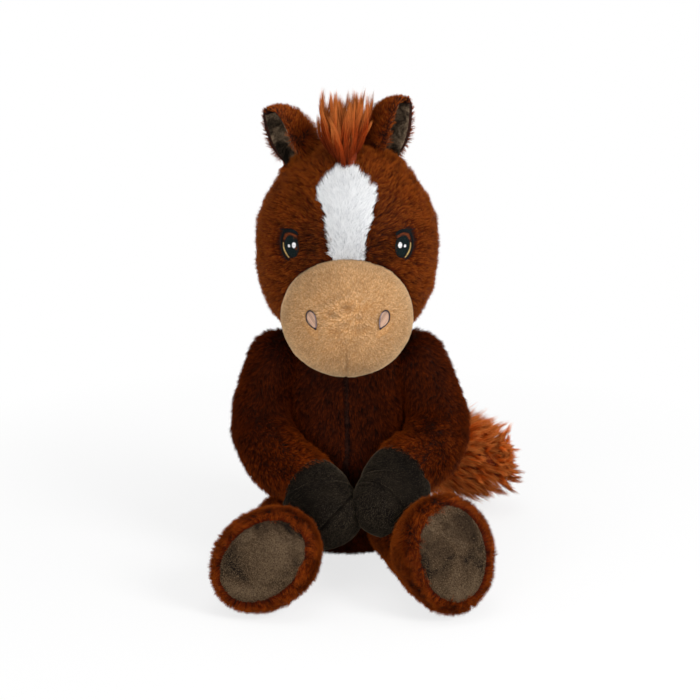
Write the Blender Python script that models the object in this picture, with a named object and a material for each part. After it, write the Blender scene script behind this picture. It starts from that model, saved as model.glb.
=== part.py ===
"""Sitting plush horse: sewn plush covers over fibre stuffing, with a pellet bag in the seat.

The horse sits on Z = 0 and faces -Y. Its own left side is +X.
"""

import math

import bmesh
import bpy
from mathutils import Matrix, Vector

# Driving sizes of the torso, in metres
torso_height = 0.158
torso_width = 0.116
torso_depth = 0.108
cover_thickness = 0.008
seat_cut = 0.0005

# Neck, which turns on the torso and carries the head on a round end
neck_radius = 0.027
neck_rise = 0.014
neck_hole_radius = 0.014
neck_bore_length = 0.056

# Head and muzzle
head_height = 0.153
head_width = 0.139
head_depth = 0.122
head_forward = 0.004
chin_gap = 0.003
chin_clearance = 0.004
muzzle_width = 0.097
muzzle_height = 0.088
muzzle_depth = 0.100
muzzle_forward = 0.058
muzzle_drop = 0.0425
muzzle_thickness = 0.005

# Face details
blaze_width = 0.047
blaze_height = 0.070
eye_width = 0.018
eye_height = 0.023
eye_spacing = 0.084
eye_rise = 0.009
nostril_width = 0.007
nostril_height = 0.013
nostril_spacing = 0.052
nostril_rise = 0.004
embroidery_thickness = 0.0012

# Ears, forelock and mane
ear_height = 0.048
ear_width = 0.026
ear_fold = 0.029
ear_wall = 0.006
ear_root_radius = 0.0135
ear_root_depth = 0.007
left_ear_reach = 0.0275
right_ear_reach = 0.0345
ear_back = 0.002
ear_lining_thickness = 0.0014
forelock_height = 0.044
forelock_width = 0.043
forelock_thickness = 0.018
forelock_forward = 0.024
mane_width = 0.018
mane_height = 0.012
mane_low_share = 0.25
forelock_tip_thinning_share = 0.6

# Arms and their velvet hooves
arm_length = 0.135
shoulder_radius = 0.0255
shoulder_spacing = 0.104
shoulder_drop = 0.013
arm_radius = 0.0245
hoof_length = 0.052
hoof_radius = 0.0255

# Legs and their velvet soles
leg_length = 0.109
leg_radius = 0.0285
hip_spacing = 0.088
hip_forward = 0.050
foot_width = 0.072
foot_height = 0.088
foot_round = 0.009
sole_width = 0.048
sole_height = 0.066
sole_thickness = 0.004

# Tail
tail_length = 0.140
tail_height = 0.070
tail_thickness = 0.050
tail_root_radius = 0.011
tail_root_height = 0.039

# Pellet bag in the seat
pellet_bag_width = 0.074
pellet_bag_depth = 0.066
pellet_bag_height = 0.040
pellet_bag_lift = 0.0009
under_bag_radius = 0.022

# Clearances and counts
seam_gap = 0.0003
joint_gap = 0.0003
stuffing_gap = 0.00095
limb_clearance = 0.0021
overrun = 0.004
form_sides = 18
inner_sides = 9
limb_sides = 14
ball_sides = 22
span_steps = 2

LEFT = 1
RIGHT = -1
SIDES = ((LEFT, "left"), (RIGHT, "right"))

for old in list(bpy.data.objects):
    bpy.data.objects.remove(old, do_unlink=True)


def plush(name, colour, roughness=0.95):
    """A material with the colour of one cloth, given as linear red, green and blue."""
    material = bpy.data.materials.new(name)
    material.use_nodes = True
    shader = material.node_tree.nodes["Principled BSDF"]
    shader.inputs["Base Color"].default_value = (*colour, 1)
    shader.inputs["Roughness"].default_value = roughness
    shader.inputs["Metallic"].default_value = 0
    return material


chestnut_plush = plush("chestnut plush", (0.15, 0.030, 0.010))
tan_plush = plush("tan short pile", (0.58, 0.35, 0.16))
white_plush = plush("white plush", (0.80, 0.81, 0.82))
rust_hair = plush("rust long pile", (0.37, 0.080, 0.020))
charcoal_velvet = plush("charcoal velvet", (0.045, 0.032, 0.022), 0.8)
dark_thread = plush("dark thread", (0.012, 0.012, 0.015), 0.5)
pink_thread = plush("pink tan thread", (0.52, 0.30, 0.22), 0.5)
white_fibre = plush("polyester fibre", (0.85, 0.85, 0.83))
bag_cloth = plush("bag cloth", (0.60, 0.60, 0.58))


def linked(name, shape, material=None, smooth=True):
    """A new object made from a bmesh, with its faces turned out."""
    bmesh.ops.recalc_face_normals(shape, faces=shape.faces)
    mesh = bpy.data.meshes.new(name)
    shape.to_mesh(mesh)
    shape.free()
    if material:
        mesh.materials.append(material)
    if smooth:
        mesh.shade_smooth()
    thing = bpy.data.objects.new(name, mesh)
    bpy.context.scene.collection.objects.link(thing)
    return thing


def guide(name, shape):
    """A cutter, which is hidden and drawn as wire."""
    thing = linked(name, shape)
    thing.hide_render = True
    thing.display_type = "WIRE"
    return thing


def between(rows, steps):
    """Rows of numbers with smooth rows added between them, as a spline through each column."""
    result = []
    last = len(rows) - 1
    for index in range(last):
        before = rows[max(index - 1, 0)]
        start = rows[index]
        end = rows[index + 1]
        after = rows[min(index + 2, last)]
        for step in range(steps):
            t = step / steps
            row = []
            for a, b, c, d in zip(before, start, end, after):
                bend = 2 * a - 5 * b + 4 * c - d
                twist = 3 * (b - c) + d - a
                row.append((2 * b + (c - a) * t + bend * t * t + twist * t * t * t) / 2)
            result.append(tuple(row))
    result.append(tuple(rows[last]))
    return result


def skin(rings):
    """A closed mesh of triangles over rings of points, closed at each end by a flat fan."""
    shape = bmesh.new()
    loops = []
    for ring in rings:
        loops.append([shape.verts.new(point) for point in ring])
    count = len(loops[0])
    for lower, upper in zip(loops, loops[1:]):
        for index in range(count):
            other = (index + 1) % count
            shape.faces.new((lower[index], lower[other], upper[other]))
            shape.faces.new((lower[index], upper[other], upper[index]))
    for loop in (loops[0], loops[-1]):
        tip = shape.verts.new(sum((vert.co for vert in loop), Vector()) / count)
        for index in range(count):
            shape.faces.new((loop[index], loop[(index + 1) % count], tip))
    return shape


def standing_form(rows, width, depth, height, base, sides):
    """An upright form whose oval levels come from shares of its width, depth and height."""
    rings = []
    for level_share, width_share, depth_share in rows:
        ring = []
        for index in range(sides):
            angle = math.tau * index / sides
            x = math.cos(angle) * width_share * width / 2
            y = math.sin(angle) * depth_share * depth / 2
            ring.append(base + Vector((x, y, level_share * height)))
        rings.append(ring)
    return skin(rings)


def resized(shape, centre, factors):
    """The same bmesh made larger or smaller about a centre."""
    for vert in shape.verts:
        offset = vert.co - centre
        vert.co = centre + Vector(a * b for a, b in zip(offset, factors))
    return shape


def growth(change, width, depth, height):
    """Factors that move the faces of a form by a distance, out or in."""
    return tuple(1 + change / (size / 2) for size in (width, depth, height))


def limb_form(rows, sides):
    """A tube of oval rings along a path, with rows of x, y, z, half width, half height, roll."""
    rings = []
    for index, row in enumerate(rows):
        before = Vector(rows[max(index - 1, 0)][:3])
        after = Vector(rows[min(index + 1, len(rows) - 1)][:3])
        along = (after - before).normalized()
        across = along.cross(Vector((0, 0, 1))).normalized()
        upright = across.cross(along)
        turn = Matrix.Rotation(row[5], 3, along)
        ring = []
        for side in range(sides):
            angle = math.tau * side / sides
            flat = across * math.cos(angle) * row[3] + upright * math.sin(angle) * row[4]
            ring.append(Vector(row[:3]) + turn @ flat)
        rings.append(ring)
    return skin(rings)


def round_end(pivot, direction, radius, turn_shares, roll=0.0):
    """Rows of rings that close a limb behind its pivot with part of a ball."""
    rows = []
    for turn_share in turn_shares:
        angle = turn_share * math.pi / 2
        point = pivot - direction * radius * math.cos(angle)
        rows.append((*point, radius * math.sin(angle), radius * math.sin(angle), roll))
    return rows


def ball(centre, radius, clearance=0.0):
    """A round body. With a clearance its flat faces stay outside the larger radius."""
    if clearance:
        radius = (radius + clearance) / math.cos(math.pi / ball_sides) ** 2
    shape = bmesh.new()
    bmesh.ops.create_uvsphere(
        shape,
        u_segments=ball_sides,
        v_segments=ball_sides // 2,
        radius=radius,
        matrix=Matrix.Translation(centre),
    )
    return shape


def block(low, high):
    """A box between two corners."""
    shape = bmesh.new()
    size = Vector(high) - Vector(low)
    middle = (Vector(high) + Vector(low)) / 2
    bmesh.ops.create_cube(shape, size=1, matrix=Matrix.Translation(middle) @ Matrix.Diagonal((*size, 1)))
    return shape


def beyond(point, direction, reach):
    """A box that starts at a plane through a point and reaches away along a direction."""
    turn = direction.to_track_quat("Z", "Y").to_matrix().to_4x4()
    lift = Matrix.Translation(Vector((0, 0, reach)))
    shape = bmesh.new()
    bmesh.ops.create_cube(shape, size=reach * 2, matrix=Matrix.Translation(point) @ turn @ lift)
    return shape


def cylinder(centre, radius, height, sides=ball_sides):
    """An upright cylinder about a centre."""
    shape = bmesh.new()
    bmesh.ops.create_cone(
        shape,
        cap_ends=True,
        segments=sides,
        radius1=radius,
        radius2=radius,
        depth=height,
        matrix=Matrix.Translation(centre),
    )
    return shape


def combine(thing, other, operation="DIFFERENCE", careful=False):
    """Cuts, joins or crosses one object with another by a Boolean modifier.

    The careful way also copes with thin slivers that earlier cuts have left.
    """
    step = thing.modifiers.new(other.name, "BOOLEAN")
    step.operation = operation
    step.solver = "EXACT"
    step.use_self = careful
    step.object = other


# Torso: a pear-shaped cover, open at the neck, with dishes where limbs and tail are sewn on
seat_cut_share = seat_cut / torso_height
torso_shares = (
    (-seat_cut_share, 0.66, 0.66),
    (0.012, 0.77, 0.77),
    (0.060, 0.90, 0.90),
    (0.160, 0.98, 0.98),
    (0.300, 1.00, 1.00),
    (0.470, 0.95, 0.94),
    (0.640, 0.87, 0.82),
    (0.800, 0.85, 0.73),
    (0.910, 0.83, 0.68),
    (1.000, 0.72, 0.60),
    (1.060, 0.34, 0.34),
)
seat = Vector((0, 0, 0))
torso_centre = Vector((0, 0, torso_height / 2))


def torso_form(change, sides):
    """The torso's round form, with its faces moved out or in by a distance."""
    shape = standing_form(torso_shares, torso_width, torso_depth, torso_height, seat, sides)
    return resized(shape, torso_centre, growth(change, torso_width, torso_depth, torso_height))


def share_at(rows, level, column):
    """The share in one column of a profile at a level, read between its rows."""
    for lower, upper in zip(rows, rows[1:]):
        if lower[0] <= level <= upper[0]:
            part = (level - lower[0]) / (upper[0] - lower[0])
            return lower[column] + part * (upper[column] - lower[column])
    return rows[-1][column]


# Pivots of the sewn joints, all taken from the torso's own sizes
neck_pivot = Vector((0, 0, torso_height + neck_rise))
tail_level_share = tail_root_height / torso_height
tail_seat = share_at(torso_shares, tail_level_share, 2) * torso_depth / 2
tail_pivot = Vector((0, tail_seat + tail_root_radius / 2, tail_root_height))
shoulder_height = torso_height - shoulder_drop
shoulder_pivots = {
    side: Vector((side * shoulder_spacing / 2, 0, shoulder_height)) for side, label in SIDES
}
hip_height = leg_radius - seat_cut
hip_pivots = {side: Vector((side * hip_spacing / 2, -hip_forward, hip_height)) for side, label in SIDES}

# Arm paths, as shares of the arm's length outward, forward and down from the shoulder
arm_path_shares = {
    LEFT: (
        (0.000, 0.000, 0.000),
        (0.083, 0.060, 0.165),
        (0.125, 0.150, 0.322),
        (0.068, 0.310, 0.436),
        (-0.080, 0.480, 0.480),
        (-0.104, 0.580, 0.564),
        (-0.133, 0.660, 0.630),
    ),
    RIGHT: (
        (0.000, 0.000, 0.000),
        (0.065, 0.060, 0.170),
        (0.088, 0.150, 0.345),
        (-0.005, 0.315, 0.485),
        (-0.160, 0.475, 0.556),
        (-0.209, 0.572, 0.640),
        (-0.246, 0.648, 0.702),
    ),
}
wrist_row = 4
end_turn_shares = (0.08, 0.38, 0.70)
arm_girth_shares = (1.00, 1.00, 1.04, 1.04, 0.98)
hoof_girth_shares = (0.95, 1.00)
hoof_end_shares = ((0.45, 0.96), (0.85, 0.72), (1.00, 0.36))


def arm_rows(side, change=0.0):
    """The arm's rings: a round shoulder, the furry arm, and the hoof that widens to its end."""
    pivot = shoulder_pivots[side]
    places = []
    for outward, forward, down in arm_path_shares[side]:
        places.append(pivot + arm_length * Vector((side * outward, -forward, -down)))
    girths = [shoulder_radius] + [arm_radius * share for share in arm_girth_shares[1:]]
    girths += [hoof_radius * share for share in hoof_girth_shares]
    path = [(*point, girth + change, girth + change, 0) for point, girth in zip(places, girths)]
    first_step = (places[1] - places[0]).normalized()
    rows = round_end(pivot, first_step, shoulder_radius + change, end_turn_shares)
    rows += between(path, span_steps)
    last_step = (places[-1] - places[-2]).normalized()
    end_length = hoof_length + change - (places[-1] - places[wrist_row]).length
    for along_share, girth_share in hoof_end_shares:
        point = places[-1] + last_step * end_length * along_share
        girth = (hoof_radius + change) * girth_share
        rows.append((*point, girth, girth, 0))
    return rows, places


# Leg paths, as shares of the leg's length outward, forward and up from the hip
leg_path_shares = {
    LEFT: ((0.000, 0.000), (0.055, 0.220), (0.120, 0.480), (0.180, 0.690), (0.235, 0.840)),
    RIGHT: ((0.000, 0.000), (0.030, 0.220), (0.062, 0.480), (0.093, 0.690), (0.120, 0.840)),
}
leg_girth_shares = (1.00, 0.97, 0.95)
foot_growth_share = 0.62
foot_turn_shares = (0.0, 0.4, 0.75, 1.0)
foot_roll = {LEFT: math.radians(4), RIGHT: math.radians(-48)}


def oval_reach(half_width, half_height, roll):
    """How far a rolled oval reaches up from its centre."""
    return math.hypot(half_width * math.sin(roll), half_height * math.cos(roll))


def leg_rows(side, change=0.0):
    """The leg's rings, all resting on the seat plane, and the foot's end point and direction."""
    pivot = hip_pivots[side]
    shares = leg_path_shares[side]
    roll = foot_roll[side]
    sizes = [(leg_radius * share, leg_radius * share, roll) for share in leg_girth_shares]
    half_width = leg_radius + (foot_width / 2 - leg_radius) * foot_growth_share
    half_height = leg_radius + (foot_height / 2 - leg_radius) * foot_growth_share
    sizes.append((half_width, half_height, roll))
    sizes.append((foot_width / 2, foot_height / 2, roll))
    places = []
    for (outward, forward), (wide, high, turned) in zip(shares, sizes):
        level = oval_reach(wide, high, turned) - seat_cut
        places.append(Vector((pivot.x + side * outward * leg_length, pivot.y - forward * leg_length, level)))
    path = []
    for place, (wide, high, turned) in zip(places, sizes):
        path.append((*place, wide + change, high + change, turned))
    first_step = (places[1] - places[0]).normalized()
    rows = round_end(places[0], first_step, leg_radius + change, end_turn_shares, roll)
    rows += between(path, span_steps)
    last_step = (places[-1] - places[-2]).normalized()
    end = places[-1] + last_step * (leg_length * (1 - shares[-1][1]) - foot_round)
    end += last_step * change
    for turn_share in foot_turn_shares:
        angle = turn_share * math.pi / 2
        inset = foot_round * (1 - math.cos(angle)) - change
        point = end + last_step * foot_round * math.sin(angle)
        rows.append((*point, foot_width / 2 - inset, foot_height / 2 - inset, roll))
    return rows, end + last_step * foot_round, last_step


# Cutters that several pieces share
floor = guide("floor_cutter", beyond(seat, Vector((0, 0, -1)), torso_width))
above_neck = guide("neck_plane_cutter", beyond(Vector((0, 0, torso_height)), Vector((0, 0, 1)), head_width))
torso_keepout = guide("torso_keepout", torso_form(chin_clearance, form_sides))
torso_limb_keepout = guide("torso_limb_keepout", torso_form(limb_clearance, form_sides))
torso_hoof_keepout = guide("torso_hoof_keepout", torso_form(limb_clearance, form_sides))
sockets = [guide("tail_socket", ball(tail_pivot, tail_root_radius, joint_gap))]
roots = [guide("tail_root", ball(tail_pivot, tail_root_radius))]
for side, label in SIDES:
    sockets.append(guide(label + "_shoulder_socket", ball(shoulder_pivots[side], shoulder_radius, joint_gap)))
    sockets.append(guide(label + "_hip_socket", ball(hip_pivots[side], leg_radius, joint_gap)))
    roots.append(guide(label + "_shoulder_root", ball(shoulder_pivots[side], shoulder_radius)))

for root in roots:
    combine(torso_limb_keepout, root)

body_cover = linked("body_cover", torso_form(0, form_sides), chestnut_plush)
cavity_top = Vector((0, 0, torso_height - cover_thickness))
above_cavity = guide("above_cavity", beyond(cavity_top, Vector((0, 0, 1)), torso_width))
body_cavity = guide("body_cavity", torso_form(-cover_thickness, inner_sides))
combine(body_cavity, above_cavity)
neck_hole = guide("neck_hole", cylinder(cavity_top, neck_hole_radius, neck_bore_length))
for cutter in [floor, above_neck, body_cavity, neck_hole] + sockets:
    combine(body_cover, cutter)

bag_centre = Vector((0, 0, cover_thickness + pellet_bag_lift + pellet_bag_height / 2))
bag_size = (pellet_bag_width / 2, pellet_bag_depth / 2, pellet_bag_height / 2)


def pellet_bag_form(change):
    """A round flattened bag."""
    shape = bmesh.new()
    bmesh.ops.create_uvsphere(shape, u_segments=inner_sides, v_segments=inner_sides // 2, radius=1)
    return resized(shape, Vector(), tuple(size + change for size in bag_size))


body_stuffing = linked("body_stuffing", torso_form(-cover_thickness - stuffing_gap, inner_sides), white_fibre)
bag_space = guide("bag_space", pellet_bag_form(seam_gap))
pellet_bag = linked("pellet_bag", pellet_bag_form(0), bag_cloth)
for thing in (bag_space, pellet_bag):
    thing.location = bag_centre
under_bag = guide(
    "under_bag",
    cylinder(Vector((0, 0, bag_centre.z / 2)), under_bag_radius, bag_centre.z, inner_sides),
)
above_stuffing = guide(
    "above_stuffing",
    beyond(cavity_top - Vector((0, 0, seam_gap)), Vector((0, 0, 1)), torso_width),
)
for cutter in [above_stuffing, bag_space, under_bag] + sockets:
    combine(body_stuffing, cutter)

# Neck: a short round-ended plush tube that turns on the torso's flat top
neck_low = torso_height + seam_gap
neck_high = neck_pivot.z + neck_rise
neck_cover = linked("neck_cover", ball(neck_pivot, neck_radius), chestnut_plush)
below_neck = guide("below_neck", beyond(Vector((0, 0, neck_low)), Vector((0, 0, -1)), head_width))
over_neck = guide("over_neck", beyond(Vector((0, 0, neck_high)), Vector((0, 0, 1)), head_width))
neck_middle = Vector((0, 0, (neck_low + neck_high) / 2))
neck_bore = guide("neck_bore", cylinder(neck_middle, neck_hole_radius, neck_bore_length))
for cutter in (below_neck, over_neck, neck_bore):
    combine(neck_cover, cutter)
neck_plug_height = neck_high - cavity_top.z
neck_plug_middle = cavity_top + Vector((0, 0, neck_plug_height / 2))
neck_stuffing = linked(
    "neck_stuffing",
    cylinder(neck_plug_middle, neck_hole_radius - seam_gap * 2, neck_plug_height),
    white_fibre,
)

# Head: a tall round form with a round hollow under it for the neck
head_shares = (
    (0.000, 0.36, 0.36),
    (0.045, 0.54, 0.54),
    (0.130, 0.78, 0.76),
    (0.270, 0.94, 0.92),
    (0.380, 0.985, 0.98),
    (0.484, 1.000, 1.00),
    (0.600, 0.985, 0.985),
    (0.700, 0.920, 0.92),
    (0.840, 0.735, 0.735),
    (0.935, 0.500, 0.50),
    (0.985, 0.250, 0.25),
    (1.000, 0.060, 0.06),
)
head_base = Vector((0, -head_forward, torso_height + chin_gap))
head_centre = head_base + Vector((0, 0, head_height / 2))


def head_form(change, sides):
    """The head's round form, with its faces moved out or in by a distance."""
    shape = standing_form(head_shares, head_width, head_depth, head_height, head_base, sides)
    return resized(shape, head_centre, growth(change, head_width, head_depth, head_height))


def head_level(x, y):
    """The height of the head's upper skin over a place, taken as an oval."""
    wide = x / (head_width / 2)
    deep = (y + head_forward) / (head_depth / 2)
    return head_centre.z + head_height / 2 * math.sqrt(max(1 - wide * wide - deep * deep, 0))


muzzle_centre = Vector((0, -muzzle_forward, head_centre.z - muzzle_drop))
muzzle_size = (muzzle_width / 2, muzzle_depth / 2, muzzle_height / 2)


def muzzle_form(change, sides):
    """A round oval muzzle."""
    shape = bmesh.new()
    bmesh.ops.create_uvsphere(shape, u_segments=sides, v_segments=sides // 2, radius=1)
    grown = tuple(size + change for size in muzzle_size)
    return resized(shape, Vector(), grown)


def placed(thing, point):
    """The same object, moved to a point."""
    thing.location = point
    return thing


def outline_prism(points, centre, reach):
    """A bar along Y with an outline given in X and Z about a centre."""
    shape = bmesh.new()
    front = [shape.verts.new(centre + Vector((x, -reach, z))) for x, z in points]
    back = [shape.verts.new(centre + Vector((x, 0, z))) for x, z in points]
    count = len(points)
    for index in range(count):
        other = (index + 1) % count
        shape.faces.new((front[index], front[other], back[other], back[index]))
    shape.faces.new(front)
    shape.faces.new(back)
    return shape


def oval_points(width, height, tilt=0.0, count=inner_sides):
    """Points of an oval, leaned by an angle."""
    points = []
    for index in range(count):
        angle = math.tau * index / count
        x = math.cos(angle) * width / 2
        z = math.sin(angle) * height / 2
        points.append((x * math.cos(tilt) - z * math.sin(tilt), x * math.sin(tilt) + z * math.cos(tilt)))
    return points


# Blaze: a white panel set into the front of the head cover, wide on the brow
blaze_outline_shares = (
    (-0.28, 0.00), (-0.28, 0.25), (-0.33, 0.45), (-0.46, 0.66), (-0.48, 0.80), (-0.28, 0.94),
    (0.04, 1.00), (0.32, 0.93), (0.50, 0.76), (0.48, 0.60), (0.38, 0.42), (0.28, 0.20), (0.28, 0.00),
)
blaze_low = Vector((0, -head_forward, muzzle_centre.z + muzzle_height / 2 - overrun))
blaze_centre = blaze_low + Vector((0, 0, blaze_height / 2))


def blaze_prism(change):
    """The blaze's outline as a bar along Y, with its edge moved out or in by a distance."""
    points = []
    for x_share, z_share in blaze_outline_shares:
        x = x_share * blaze_width
        z = z_share * blaze_height
        wide = 1 + change / (blaze_width / 2)
        high = 1 + change / (blaze_height / 2)
        points.append((x * wide, (z - blaze_height / 2) * high + blaze_height / 2))
    return outline_prism(points, blaze_low, head_depth)


head_cavity = guide("head_cavity", head_form(-cover_thickness, inner_sides))
head_keepout = guide("head_keepout", head_form(seam_gap, form_sides))
neck_socket = guide("neck_socket", ball(neck_pivot, neck_radius, joint_gap))
muzzle_mouth = placed(guide("muzzle_mouth", muzzle_form(-muzzle_thickness, inner_sides)), muzzle_centre)
blaze_gap = guide("blaze_gap", blaze_prism(seam_gap))

# Ears: folded plush leaves on a round root that nests in the head cover
ear_level_shares = (
    (0.14, 0.62, 0.42, 0.00, 0.21),
    (0.25, 0.76, 0.64, 0.30, 0.32),
    (0.42, 1.00, 0.96, 0.70, 0.46),
    (0.60, 1.00, 1.00, 0.76, 0.50),
    (0.78, 0.88, 0.90, 0.66, 0.54),
    (0.91, 0.66, 0.66, 0.40, 0.58),
    (1.00, 0.34, 0.34, 0.10, 0.60),
)
ear_root_turn_shares = (0.10, 0.40, 0.70, 1.00)
ear_hollow_share = 0.90
ear_reach = {LEFT: left_ear_reach, RIGHT: right_ear_reach}
ear_lean = {LEFT: math.radians(4), RIGHT: math.radians(15)}
ear_turn = {LEFT: math.radians(50), RIGHT: math.radians(50)}
ear_round = 8


def ear_pivot(side):
    """The middle of an ear's round root, just under the head's skin."""
    x = side * ear_reach[side]
    return Vector((x, ear_back, head_level(x, ear_back) - ear_root_depth))


def ear_frame(side):
    """Where an ear stands: leaned outward, its hollow turned to the side."""
    lean = Matrix.Rotation(side * ear_lean[side], 4, "Y")
    turn = Matrix.Rotation(side * ear_turn[side], 4, "Z")
    return Matrix.Translation(ear_pivot(side)) @ lean @ turn


def ear_ring(level, half, back, front, shift, inner_half):
    """One ring of the leaf: an outer arc behind and an arc inside the hollow."""
    ring = []
    for index in range(ear_round):
        angle = math.pi * index / (ear_round - 1)
        ring.append(Vector((half * math.cos(angle), back * math.sin(angle) - shift, level)))
    for index in range(ear_round):
        angle = math.pi * (index + 1 / 2) / ear_round
        ring.append(Vector((-inner_half * math.cos(angle), front * math.sin(angle) - shift, level)))
    return ring


def ear_form():
    """The folded leaf in its own frame: Z up the leaf, the hollow facing -Y."""
    loops = []
    for turn_share in ear_root_turn_shares:
        angle = turn_share * math.pi / 2
        radius = ear_root_radius * math.sin(angle)
        loops.append(ear_ring(-ear_root_radius * math.cos(angle), radius, radius, -radius, 0, radius))
    for level, width, back, front, shift in ear_level_shares:
        half = width * ear_width / 2
        inner_half = half - ear_wall if front else half * ear_hollow_share
        depths = [share * ear_fold for share in (back, front, shift)]
        loops.append(ear_ring(level * ear_height, half, *depths, inner_half))
    return skin(loops)


ear_lining_level_shares = (0.28, 0.40, 0.52, 0.64, 0.76, 0.86)
ear_lining_turn_shares = (0.08, 0.25, 0.42, 0.58, 0.75, 0.92)


def ear_lining_form():
    """The velvet lining, which follows the leaf's hollow at a small gap."""
    loops = []
    for level in ear_lining_level_shares:
        half = share_at(ear_level_shares, level, 1) * ear_width / 2 - ear_wall - seam_gap * 2
        front = share_at(ear_level_shares, level, 3) * ear_fold - seam_gap * 2
        shift = share_at(ear_level_shares, level, 4) * ear_fold
        near = []
        far = []
        for turn_share in ear_lining_turn_shares:
            angle = math.pi * turn_share
            inner_half = half - ear_lining_thickness
            inner_front = front - ear_lining_thickness
            height = level * ear_height
            near.append(Vector((half * math.cos(angle), front * math.sin(angle) - shift, height)))
            far.append(Vector((inner_half * math.cos(angle), inner_front * math.sin(angle) - shift, height)))
        loops.append(near + far[::-1])
    return skin(loops)


ear_sockets = []
for side, label in SIDES:
    ear_cover = linked(label + "_ear_cover", ear_form(), chestnut_plush)
    ear_lining = linked(label + "_ear_lining", ear_lining_form(), charcoal_velvet)
    for thing in (ear_cover, ear_lining):
        thing.matrix_world = ear_frame(side)
    ear_sockets.append(guide(label + "_ear_socket", ball(ear_pivot(side), ear_root_radius, joint_gap)))

head_cover = linked("head_cover", head_form(0, form_sides), chestnut_plush)
for cutter in [head_cavity, neck_socket, muzzle_mouth, blaze_gap] + ear_sockets:
    combine(head_cover, cutter)

head_stuffing = linked("head_stuffing", head_form(-cover_thickness - stuffing_gap, inner_sides), white_fibre)
for cutter in [neck_socket] + ear_sockets:
    combine(head_stuffing, cutter)

blaze_panel = linked("blaze_panel", head_form(0, form_sides), white_plush)
blaze_bar = guide("blaze_bar", blaze_prism(0))
combine(blaze_panel, blaze_bar, "INTERSECT")
for cutter in (head_cavity, muzzle_mouth):
    combine(blaze_panel, cutter)

# Muzzle: a short-pile cup sewn over the front of the face, with its own stuffing
muzzle_cover = placed(linked("muzzle_cover", muzzle_form(0, form_sides), tan_plush), muzzle_centre)
muzzle_cavity = placed(guide("muzzle_cavity", muzzle_form(-muzzle_thickness, inner_sides)), muzzle_centre)
for cutter in (head_keepout, muzzle_cavity, neck_socket, torso_keepout):
    combine(muzzle_cover, cutter, careful=True)
muzzle_floor = guide("muzzle_floor", torso_form(chin_clearance + muzzle_thickness, form_sides))
muzzle_stuffing = placed(
    linked("muzzle_stuffing", muzzle_form(-muzzle_thickness - stuffing_gap, inner_sides), white_fibre),
    muzzle_centre,
)
for cutter in (head_cavity, neck_socket, muzzle_floor):
    combine(muzzle_stuffing, cutter)

# Eyes and nostrils: satin-stitched patches that follow the cloth they are sewn on
eye_low = guide("eye_low", head_form(seam_gap, form_sides))
nostril_low = placed(guide("nostril_low", muzzle_form(seam_gap, form_sides)), muzzle_centre)
nostril_tilt = math.radians(16)
for side, label in SIDES:
    eye_skin = head_form(seam_gap + embroidery_thickness, form_sides)
    eye = linked(label + "_eye_embroidery", eye_skin, dark_thread)
    eye_place = Vector((side * eye_spacing / 2, -head_forward, head_centre.z + eye_rise))
    eye_points = oval_points(eye_width, eye_height)
    eye_bar = guide(label + "_eye_bar", outline_prism(eye_points, eye_place, head_depth))
    combine(eye, eye_bar, "INTERSECT")
    combine(eye, eye_low)
    nostril = placed(
        linked(
            label + "_nostril_embroidery",
            muzzle_form(seam_gap + embroidery_thickness, form_sides),
            pink_thread,
        ),
        muzzle_centre,
    )
    nostril_place = muzzle_centre + Vector((side * nostril_spacing / 2, 0, nostril_rise))
    nostril_points = oval_points(nostril_width, nostril_height, side * nostril_tilt)
    nostril_bar = guide(label + "_nostril_bar", outline_prism(nostril_points, nostril_place, muzzle_depth))
    combine(nostril, nostril_bar, "INTERSECT")
    combine(nostril, nostril_low)

# Forelock: a fan of long pile in pointed locks, sewn in at the crown
forelock_outline_shares = (
    (-0.16, -0.10), (-0.34, 0.22), (-0.50, 0.50), (-0.56, 0.74), (-0.42, 0.70), (-0.34, 0.92),
    (-0.22, 0.76), (-0.12, 1.00), (-0.02, 0.80), (0.10, 0.97), (0.18, 0.74), (0.34, 0.88),
    (0.40, 0.58), (0.32, 0.26), (0.14, -0.10),
)
forelock_root = Vector((0, -forelock_forward, head_level(0, -forelock_forward)))


def forelock_form():
    """The fan's outline in X and Z, thick at the root and thin at the tips."""
    shape = bmesh.new()
    front = []
    back = []
    for x_share, z_share in forelock_outline_shares:
        half = forelock_thickness / 2 * (1 - max(z_share, 0) * forelock_tip_thinning_share)
        x = x_share * forelock_width
        z = z_share * forelock_height
        lean_back = max(z_share, 0) * forelock_thickness / 2
        front.append(shape.verts.new(forelock_root + Vector((x, lean_back - half, z))))
        back.append(shape.verts.new(forelock_root + Vector((x, lean_back + half, z))))
    count = len(front)
    for index in range(count):
        other = (index + 1) % count
        shape.faces.new((front[index], front[other], back[other], back[index]))
    shape.faces.new(front)
    shape.faces.new(back)
    bmesh.ops.triangulate(shape, faces=shape.faces)
    return shape


forelock = linked("forelock", forelock_form(), rust_hair, smooth=False)
combine(forelock, head_keepout)

# Mane: a strip of long pile sewn down the middle of the head's back
mane = linked("mane", head_form(mane_height, form_sides), rust_hair)
mane_front = forelock_root.y + forelock_thickness
mane_low = head_base.z + head_height * mane_low_share
head_top = head_base.z + head_height + mane_height + overrun
mane_bar = guide(
    "mane_bar",
    block((-mane_width / 2, mane_front, mane_low), (mane_width / 2, head_depth, head_top)),
)
combine(mane, mane_bar, "INTERSECT")
combine(mane, head_keepout)

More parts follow.
